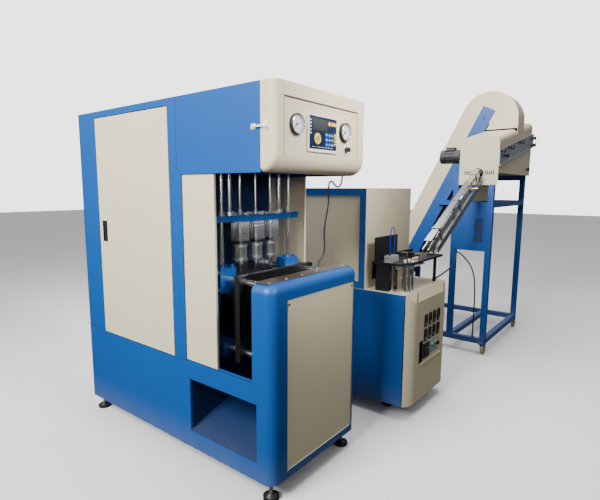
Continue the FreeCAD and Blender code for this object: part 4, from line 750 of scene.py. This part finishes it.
def grow(kind, name, material, points=((0, 0, 0),), body="line", **values):
    # runs a tree on a few points and keeps the result as a plain mesh
    data = bpy.data.meshes.new(name + "Points")
    data.from_pydata([tuple(p) for p in points], [], [])
    holder = bpy.data.objects.new(name + "Holder", data)
    modifier = holder.modifiers.new("tree", "NODES")
    modifier.node_group = trees[kind]
    names = {item.name: item.identifier for item in trees[kind].interface.items_tree
             if item.item_type == "SOCKET" and item.in_out == "INPUT"}
    values["Material"] = material
    for label, value in values.items():
        modifier[names[label.replace("_", " ")]] = value
    grown = meshOf(holder)
    grown.name = name
    grown.shade_smooth()
    grown.set_sharp_from_angle(angle=radians(sharpAngle))
    return settle(bpy.data.objects.new(name, grown), body)


def bolts(name, material, points, facing, radius, height, sides=6, washer=1.35, body="line"):
    return grow("bolts", name, material, points, body, Sides=sides, Head_Radius=radius, Head_Height=height,
                Washer_Radius=radius * washer, Washer_Height=height * 0.22, Facing=tuple(facing))


# ---- instruments on the head
toFront, toLeft, toTop = (0, -1, 0), (-1, 0, 0), (0, 0, 1)
dialWhite = surface("dialFace", plainGloss((0.80, 0.79, 0.76), 0.35))
inkBlack = surface("dialInk", mouldedPlastic((0.012, 0.012, 0.012), 0.5, 0.0))
glass = surface("gaugeGlass", plainGloss((0.9, 0.93, 0.95), 0.05, 0.16))
gauge = {"x": {"left": 0.141, "right": 0.533}, "z": 1.778, "faceRadius": 0.0385, "faceY": -0.0243,
         "inkY": -0.0009, "firstAngle": -45, "sweep": 270,
         "numbers": ("0", "4", "8", "12", "16"), "numberSize": 0.0085, "numberRadius": 0.0235}
# distance in front of the case and radius
gaugeRim = [(0.0192, 0.0452), (0.0345, 0.0452), (0.0362, 0.0446), (0.0366, 0.0434), (0.0362, 0.0419),
            (0.0340, 0.0417), (0.0192, 0.0417)]
gaugeRing = [(0.0300, 0.0416), (0.0356, 0.0416), (0.0361, 0.0407), (0.0352, 0.0397), (0.0300, 0.0397)]
gaugeGlass = [(0.0325, 0), (0.0325, 0.0394), (0.0335, 0.0394), (0.0335, 0)]
needleHub = [(0.0257, 0), (0.0257, 0.0055), (0.0305, 0.0050), (0.0305, 0.0)]


def textPiece(name, words, size, place, material, depth=0.0003):
    # letters stand on the face, reading from the front
    curve = bpy.data.curves.new(name, "FONT")
    curve.body, curve.size, curve.extrude = words, size, depth
    curve.align_x, curve.align_y = "CENTER", "CENTER"
    data = meshOf(bpy.data.objects.new(name + "Holder", curve))
    data.transform(Matrix.Translation(place) @ Matrix.Rotation(radians(90), 4, "X"))
    data.materials.clear()
    data.materials.append(material)
    return settle(bpy.data.objects.new(name, data), "line")


for side, x in gauge["x"].items():
    middle = onMachine(x, 0, gauge["z"])
    face = gauge["faceY"]
    turned(side + "GaugeDial", dialWhite, [middle + Vector((0, face + 0.0001, 0))], toFront,
           [(0, 0), (0, gauge["faceRadius"]), (0.0008, gauge["faceRadius"]), (0.0008, 0.0)], 48)
    turned(side + "GaugeRim", blackPlastic, [middle], toFront, gaugeRim, 64, closed=True)
    turned(side + "GaugeRing", chrome, [middle], toFront, gaugeRing, 64, closed=True)
    for name, count, lift, radius, size in (("GaugeTicks", 41, 0.0009, 0.0335, (0.0035, 0.0003, 0.0006)),
                                            ("GaugeMarks", 9, 0.0010, 0.0318, (0.0065, 0.0003, 0.0012))):
        grow("ticks", side + name, inkBlack, Count=count, Radius=radius, Size=size,
             Centre=tuple(middle + Vector((0, face - lift, 0))), First_Angle=radians(gauge["firstAngle"]),
             Step_Angle=radians(gauge["sweep"] / (count - 1)))
    for k, words in enumerate(gauge["numbers"]):
        angle = radians(gauge["sweep"] + gauge["firstAngle"] - k * gauge["sweep"] / 4)
        spot = Vector((gauge["numberRadius"] * cos(angle), face + gauge["inkY"],
                       gauge["numberRadius"] * sin(angle)))
        textPiece(f"{side}GaugeNumber{k}", words, gauge["numberSize"], middle + spot, inkBlack)
    turned(side + "GaugeGlass", glass, [middle], toFront, gaugeGlass, 48)
    turned(side + "NeedleHub", blackPlastic, [middle], toFront, needleHub, 24, side + "_gauge_needle")

# a shallow groove over and beside the head's instruments
groove = {"x": (0.058, 0.662), "z": (1.640, 1.884), "width": 0.0035, "y": (-0.0203, -0.0198)}
(gx0, gx1), (gz0, gz1), (gy0, gy1) = groove["x"], groove["z"], groove["y"]
boxes("headGroove", surface("grooveShadow", powderCoat((0.075, 0.06, 0.042), 0.6)), onMachine,
      [((gx0, gy0, gz1), (gx1, gy1, gz1 + 2 * groove["width"])),
       ((gx0, gy0, gz0), (gx0 + groove["width"], gy1, gz1)),
       ((gx1 - groove["width"], gy0, gz0), (gx1, gy1, gz1))])

# screen plate: dark blue film with its grey window and raised keys
screen = {"x": 0.230, "top": 1.828, "wide": 0.223, "high": 0.148, "y": -0.0248, "keyEdge": 0.0008,
          "arrowU": 0.306, "arrowV": 0.67}
filmBlue = surface("keypadFilm", plainGloss((0.003, 0.012, 0.050), 0.34))
windowGrey = surface("displayGlass", plainGloss((0.045, 0.050, 0.055), 0.20))
keyYellow = surface("yellowKeys", plainGloss((0.90, 0.58, 0.0), 0.42))
keyBlue = surface("blueKeys", plainGloss((0.008, 0.13, 0.42), 0.42))
keyWhite = surface("whiteMarks", plainGloss((0.75, 0.77, 0.78), 0.30))


def onScreen(u, v, y=0.0):
    # shares of the plate's width and height, and metres in front of it
    return onMachine(screen["x"] + u * screen["wide"], screen["y"] - y, screen["top"] - v * screen["high"])


def keypadBoxes(name, material, corners, soften=0.0):
    return boxes(name, material, onScreen, corners, soften)


keypadBoxes("keypadPlate", filmBlue, [((0.006, 0.992, 0.0006), (0.994, 0.008, 0.0))], 0.0002)
keypadBoxes("displayFrame", inkBlack, [((0.12, 0.45, 0.0012), (0.67, 0.05, 0.0))], 0.0004)
keypadBoxes("displayWindow", windowGrey, [((0.145, 0.425, 0.0016), (0.645, 0.075, 0.0))], 0.0002)
turned("roundKeys", keyYellow, [onScreen(u, 0.17, 0.0005) for u in (0.735, 0.845, 0.94)], toFront,
       [(0, 0), (0, 0.010), (0.0012, 0.0095), (0.0016, 0)], 28)
turned("arrowPad", keyYellow, [onScreen(screen["arrowU"], screen["arrowV"], 0.0005)], toFront,
       [(0, 0), (0, 0.0257), (0.0012, 0.0252), (0.0016, 0)], 40)
arrows = Shape()
centre = onScreen(screen["arrowU"], screen["arrowV"], 0.0020)
arrow = [Vector(p) for p in ((0.0050, 0, 0.0068), (0.0050, 0, -0.0068), (0.0180, 0, 0.0))]
for k in range(4):
    turn = Matrix.Rotation(k * pi / 2, 3, "Y")
    arrows.slab([centre + turn @ p for p in arrow], (0, -0.0008, 0))
arrows.piece("arrowMarks", keyBlue)
digits = [(0.585 + column * 0.108, 0.47 + row * 0.15) for row in range(3) for column in range(3)]
keypadBoxes("digitKeys", keyBlue, [((u, v + 0.115, 0.0018), (u + 0.085, v, 0.0)) for u, v in digits],
            screen["keyEdge"])
keypadBoxes("digitMarks", keyWhite,
            [((u + 0.025, v + 0.075, 0.0021), (u + 0.06, v + 0.045, 0.0017)) for u, v in digits])
keypadBoxes("edgeKeys", keyYellow,
            [((0.92, v + 0.075, 0.0018), (0.985, v, 0.0)) for v in (0.46, 0.56, 0.66, 0.76)],
            screen["keyEdge"])
keypadBoxes("keypadMarks", keyWhite,
            [((0.12 + 0.11 * k, 0.935, 0.0009), (0.19 + 0.11 * k, 0.920, 0.0005)) for k in range(7)]
            + [((0.035, 0.14 + 0.10 * k, 0.0009), (0.085, 0.10 + 0.10 * k, 0.0005)) for k in range(5)])

# bright collar of the key switch
turned("keyCollar", chrome, [onMachine(0.552, 0, 1.693)], toFront,
       [(0.0192, 0.0175), (0.0235, 0.0175), (0.0250, 0.0160), (0.0250, 0.0120), (0.0200, 0.0120),
        (0.0192, 0.0130)], 40, closed=True)

# toggle latch at the head's left edge
catch = Shape()
for low, high, soften in (((-0.0018, 0.012, 1.744), (0.0, 0.046, 1.780), 0.0006),
                          ((-0.0018, 0.090, 1.750), (0.0, 0.118, 1.774), 0.0006),
                          ((-0.0075, 0.018, 1.752), (-0.0018, 0.040, 1.772), 0.0012),
                          ((-0.0090, 0.030, 1.757), (-0.0068, 0.100, 1.767), 0.0008),
                          ((-0.0080, 0.092, 1.755), (-0.0018, 0.104, 1.769), 0.0012)):
    catch.box(onMachine(*low), onMachine(*high), soften)
catch.piece("headLatch", cream)
screws = ((0.016, 1.748), (0.016, 1.776), (0.114, 1.753), (0.114, 1.771))
bolts("latchScrews", zinc, [onMachine(-0.0018, y, z) for y, z in screws], toLeft, 0.0022, 0.0012, 12, 1.2)
print("head instruments made")


# ---- blowing machine: seams, door, crosshead and bench
boxes("skinSeams", surface("panelSeam", powderCoat((0.006, 0.020, 0.055), 0.7)), onMachine,
      [((-0.0004, 1.4185, 0.598), (0.0, 1.651, 0.6010)), ((-0.0004, 0.640, 1.5855), (0.0, 0.6425, 1.947)),
       ((-0.0004, 0.090, 0.5920), (0.0, 0.7035, 0.5940))])

# rubber lining round the door, clear of its hinge side, and the folded rim of the bottle outlet
lining = {"x": (0.004, 0.018), "y": (0.7545, 1.4205), "z": (0.5855, 1.9125), "thick": 0.0025}
outlet = {"x": (0.0, 0.016), "y": (0.0965, 0.5845), "z": (0.1905, 0.4925), "thick": 0.002}


def rimSides(rim, openNear=False):
    # four strips round an opening in the side, or three that leave its near side free
    (x0, x1), (y0, y1), (z0, z1), thick = rim["x"], rim["y"], rim["z"], rim["thick"]
    near = y0 if openNear else y0 + thick
    strips = [((x0, y1 - thick, z0), (x1, y1, z1)), ((x0, near, z0), (x1, y1 - thick, z0 + thick)),
              ((x0, near, z1 - thick), (x1, y1 - thick, z1))]
    return strips if openNear else [((x0, y0, z0), (x1, near, z1))] + strips


boxes("doorGasket", surface("gasketRubber", mouldedPlastic((0.02, 0.02, 0.022), 0.6, 0.05)), onMachine,
      rimSides(lining, True))

# nuts on the crosshead, flutes on the blow cylinders and rings on the nozzles
crosshead = {"top": 1.359, "y": 0.445, "stations": (0.2525, 0.3725, 0.4925), "lift": (0.175, 0.570)}
flute = {"z": (1.226, 1.320), "half": 0.0022, "deep": (-0.0398, -0.0379), "edge": 0.0006,
         "places": [-0.026 + 0.013 * k for k in range(5)]}
headY, headTop = crosshead["y"], crosshead["top"]
nutSpots = [onMachine(x, headY + dy, headTop) for x in crosshead["stations"] for dy in (-0.052, 0.052)]
nutSpots += [onMachine(x + dx, headY, headTop) for x in crosshead["stations"] for dx in (-0.032, 0.032)]
carriage = "blow_carriage"
bolts("crossheadNuts", zinc, nutSpots, toTop, 0.0085, 0.009, body=carriage)
turned("liftRodNuts", zinc, [onMachine(x, headY, headTop) for x in crosshead["lift"]], toTop,
       [(0, 0.0136), (0, 0.026), (0.018, 0.026), (0.021, 0.023), (0.021, 0.0136)], body=carriage, closed=True)
fluteBoxes = []
(fz0, fz1), (deep0, deep1), half = flute["z"], flute["deep"], flute["half"]
for x in crosshead["stations"]:
    fluteBoxes += [((x + d - half, headY + deep0, fz0), (x + d + half, headY + deep1, fz1))
                   for d in flute["places"]]
    fluteBoxes += [((x + deep0, headY + d - half, fz0), (x + deep1, headY + d + half, fz1))
                   for d in flute["places"]]
boxes("cylinderFlutes", aluminium, onMachine, fluteBoxes, flute["edge"], carriage)
nozzles = [onMachine(x, headY, z) for x in crosshead["stations"] for z in (1.118, 1.188)]
turned("nozzleRings", stainless, nozzles, toTop,
       [(0, 0.0361), (0, 0.0385), (0.010, 0.0385), (0.010, 0.0361)], 40, carriage, closed=True)

# bolts on the tie blocks and screws along the bench
bolts("tieBlockBolts", zinc, [onMachine(0.0599, y, z) for y in (0.410, 0.450) for z in (0.988, 1.077)],
      toLeft, 0.0075, 0.006)
bolts("benchScrews", zinc, [onMachine(0.060 + 0.125 * k, 0.070, 1.069) for k in range(6)], toTop,
      0.0060, 0.0030, 16, 1.2)

boxes("outletRim", blue, onMachine, rimSides(outlet))
print("blowing machine details made")


# ---- preform heater: front controls
leaf = "heater_door_leaf"
greyPlastic = surface("greyPlastic", greyPart)
readoutRed = surface("readoutWindow", plainGloss((0.035, 0.008, 0.008), 0.12))
controllers = {"x": 0.236, "z": 0.590, "stepX": 0.072, "stepZ": 0.100, "rows": 2, "columns": 4,
               "keys": 4, "keyStep": 0.0076, "edge": 0.0003}
cases = [(controllers["x"] + controllers["stepX"] * k, controllers["z"] - controllers["stepZ"] * row)
         for row in range(controllers["rows"]) for k in range(controllers["columns"])]
keyShifts = [controllers["keyStep"] * n for n in range(controllers["keys"])]
boxes("controllerReadouts", readoutRed, onHeater,
      [((x + 0.0055, -0.1468, z + 0.0350), (x + 0.0325, -0.1459, z + 0.0715)) for x, z in cases],
      controllers["edge"], leaf)
boxes("controllerKeys", greyPlastic, onHeater,
      [((x + 0.0050 + shift, -0.1488, z + 0.010), (x + 0.0105 + shift, -0.1479, z + 0.016))
       for x, z in cases for shift in keyShifts], controllers["edge"], leaf)
boxes("controllerLines", greyPlastic, onHeater,
      [((x + 0.005, -0.1486, z + 0.0225), (x + 0.033, -0.1480, z + 0.0238)) for x, z in cases], body=leaf)

# dark trims round each controller's cut-out
trimSides = (((-0.003, -0.003), (0.041, 0)), ((-0.003, 0.078), (0.041, 0.081)), ((-0.003, 0), (0, 0.078)),
             ((0.038, 0), (0.041, 0.078)))
boxes("controllerTrims", blackPlastic, onHeater,
      [((x + x0, -0.1425, z + z0), (x + x1, -0.1401, z + z1))
       for x, z in cases for (x0, z0), (x1, z1) in trimSides], body=leaf)

# meter with its window, and the operating plate's rings and marks
boxes("meterWindow", surface("meterGlass", plainGloss((0.02, 0.022, 0.025), 0.08)), onHeater,
      [((0.236, -0.1508, 0.392), (0.310, -0.1499, 0.462))], 0.0004, leaf)
grow("ticks", "meterScale", keyWhite, body=leaf, Count=11, Centre=tuple(onHeater(0.273, -0.1512, 0.398)),
     Radius=0.042, First_Angle=radians(45), Step_Angle=radians(9), Size=(0.005, 0.0004, 0.0010))
Shape().slab([onHeater(x, -0.1513, z) for x, z in ((0.2722, 0.400), (0.2738, 0.400), (0.250, 0.436))],
             (0, 0.0004, 0)).piece("meterPointer", keyWhite, leaf)
turned("controlRings", chrome, [onHeater(x, -0.1420, 0.430) for x in (0.380, 0.450)], toFront,
       [(0.0061, 0.0170), (0.0072, 0.0165), (0.0076, 0.0150), (0.0076, 0.0135), (0.0061, 0.0131)],
       40, leaf, closed=True)
boxes("plateMarks", inkBlack, onHeater,
      [((0.352 + 0.052 * k, -0.1425, 0.384), (0.376 + 0.052 * k, -0.1420, 0.387)) for k in range(3)]
      + [((0.449, -0.1425, 0.452), (0.451, -0.1420, 0.460))], body=leaf)
bolts("plateScrews", zinc, [onHeater(x, -0.1420, z) for x in (0.343, 0.493) for z in (0.383, 0.461)],
      toFront, 0.0026, 0.0014, 12, 1.15, leaf)

# ---- preform heater: sleeves, fittings and springs on the deck
posts = {"spots": ((0.060, -0.070), (0.076, -0.052), (0.096, -0.080), (0.060, 0.020), (0.150, -0.080)),
         "low": 0.8385}
turned("postSleeves", chrome, [onHeater(x, y, posts["low"]) for x, y in posts["spots"]], toTop,
       [(0, 0.0071), (0, 0.0125), (0.012, 0.0125), (0.012, 0.0086), (0.164, 0.0086), (0.164, 0.0125),
        (0.176, 0.0125), (0.176, 0.0071)], 24, closed=True)
turned("hoseFittings", brass,
       [onHeater(x, y, 1.0712) for x, y in ((0.050, 0.035), (0.112, 0.035), (0.066, 0.052))], toTop,
       [(0, 0), (0, 0.0070), (0.006, 0.0070), (0.006, 0.0052), (0.010, 0.0052), (0.010, 0.0)], 6)
grow("springs", "loaderSprings", zinc, [onHeater(0.070 + 0.030 * k, 0.040, 0.860) for k in range(3)],
     Turns=11.0, Coil_Radius=0.0135, Wire_Radius=0.0012, Height=0.11)
print("heater details made")

# ---- preform feeder: front plate, knobs and seams
slotDark = surface("slotShadow", mouldedPlastic((0.03, 0.026, 0.02), 0.7, 0.0))
for side, y in (("Near", -0.143), ("Far", 0.032)):
    grow("slats", "ventSlots" + side, slotDark, Count=5, Start=tuple(onFeeder(-0.0034, y, 1.640)),
         Step=(0, 0.0165, 0), Size=(0.0008, 0.0085, 0.034))
grow("slats", "boxLouvres", slotDark, Count=10, Start=tuple(onFeeder(-0.0086, -0.0450, 1.0455)),
     Step=(0, 0, 0.021), Size=(0.0008, 0.069, 0.0062))
turned("mouthDish", blackPlastic, [onFeeder(-0.0112, -0.017, 1.640)], toLeft,
       [(0, 0.0242), (0, 0.040), (0.003, 0.042), (0.006, 0.040), (0.010, 0.030), (0.010, 0.0242)], 48,
       closed=True)
# the plate's knobs stand further out than the one at its foot
knob = {"lobes": 5, "depth": 0.10, "plateY": -0.198, "footY": -0.194,
        "profile": [(0, 0), (0, 0.015), (0.004, 0.019), (0.012, 0.019), (0.016, 0.016), (0.018, 0)]}
knobFeet = [Vector((spot.x, onFeeder(0, knob["plateY" if k < len(knobSpots) else "footY"], 0).y, spot.z))
            for k, spot in enumerate(sideKnobs)]
turned("handKnobs", blackPlastic, knobFeet, toFront, knob["profile"], 40, lobes=knob["lobes"],
       depth=knob["depth"])

# the housing's leg is a separate sheet from its arch: a raised seam on both sides
seam = {"across": (0.115, 0.262), "along": (0.150, 0.154), "raise": 0.0008}
(a0, a1), (b0, b1) = seam["across"], seam["along"]
seamPlates = Shape()
for x, push in ((0.560, -seam["raise"]), (0.800, seam["raise"])):
    seamPlates.slab([onBelt(x, a, b) for a, b in ((a0, b0), (a1, b0), (a1, b1), (a0, b1))], (push, 0, 0))
seamPlates.piece("housingSeam", beige)

# part sensor across the chute; sleeve and body are start, radius and length
sensor = {"along": 0.300, "side": -0.025, "up": 0.010,
          "Sleeve": (0, 0.0094, 0.034), "Body": (0.034, 0.0080, 0.026)}
sleeveOrange = surface("sensorOrange", plainGloss((0.75, 0.24, 0.02), 0.35))
eye = onChute(sensor["along"], sensor["side"], sensor["up"])
for name, material in (("Sleeve", sleeveOrange), ("Body", blackPlastic)):
    away, radius, length = sensor[name]
    turned("sensor" + name, material, [eye + Vector((0, -away, 0))], toFront,
           [(0, 0), (0, radius), (length, radius), (length, 0)], 28)
print("feeder details made")


# ---- floor and daylight
def floorPaint(start, pos):
    cloud = pos.noise(0.6, 3.0)
    return {"colour": cloud.mix(shade(studio["floorColour"], 0.985), studio["floorColour"]),
            "rough": cloud * 0.1 + 0.55}


reach, level = 30, -0.0005
data = bpy.data.meshes.new("floor")
data.from_pydata([(-reach, -reach, level), (reach, -reach, level), (reach, reach, level),
                  (-reach, reach, level)], [], [(0, 1, 2, 3)])
data.materials.append(surface("paleFloor", floorPaint))
floor = bpy.data.objects.new("floor", data)
show(floor)
floor.visible_diffuse = False     # the floor takes shadows but throws no light up at the machine
floor.visible_glossy = False

# brighter overhead than below, behind an even white backdrop
world = bpy.data.worlds.new("daylight")
world.use_nodes = True
bpy.context.scene.world = world
start = Wire(world.node_tree)
height = start.add("ShaderNodeTexCoord").part("Z").rise(-0.25, 0.75)
sky = height * (studio["skyHigh"] - studio["skyLow"]) + studio["skyLow"]
seen = start.add("ShaderNodeLightPath")
strength = seen * studio["backdrop"] + (1 - seen) * sky
background = world.node_tree.nodes["Background"]
background.inputs["Color"].default_value = (1.0, 1.0, 1.0, 1)
world.node_tree.links.new(strength.socket, background.inputs["Strength"])
print("floor and daylight made")
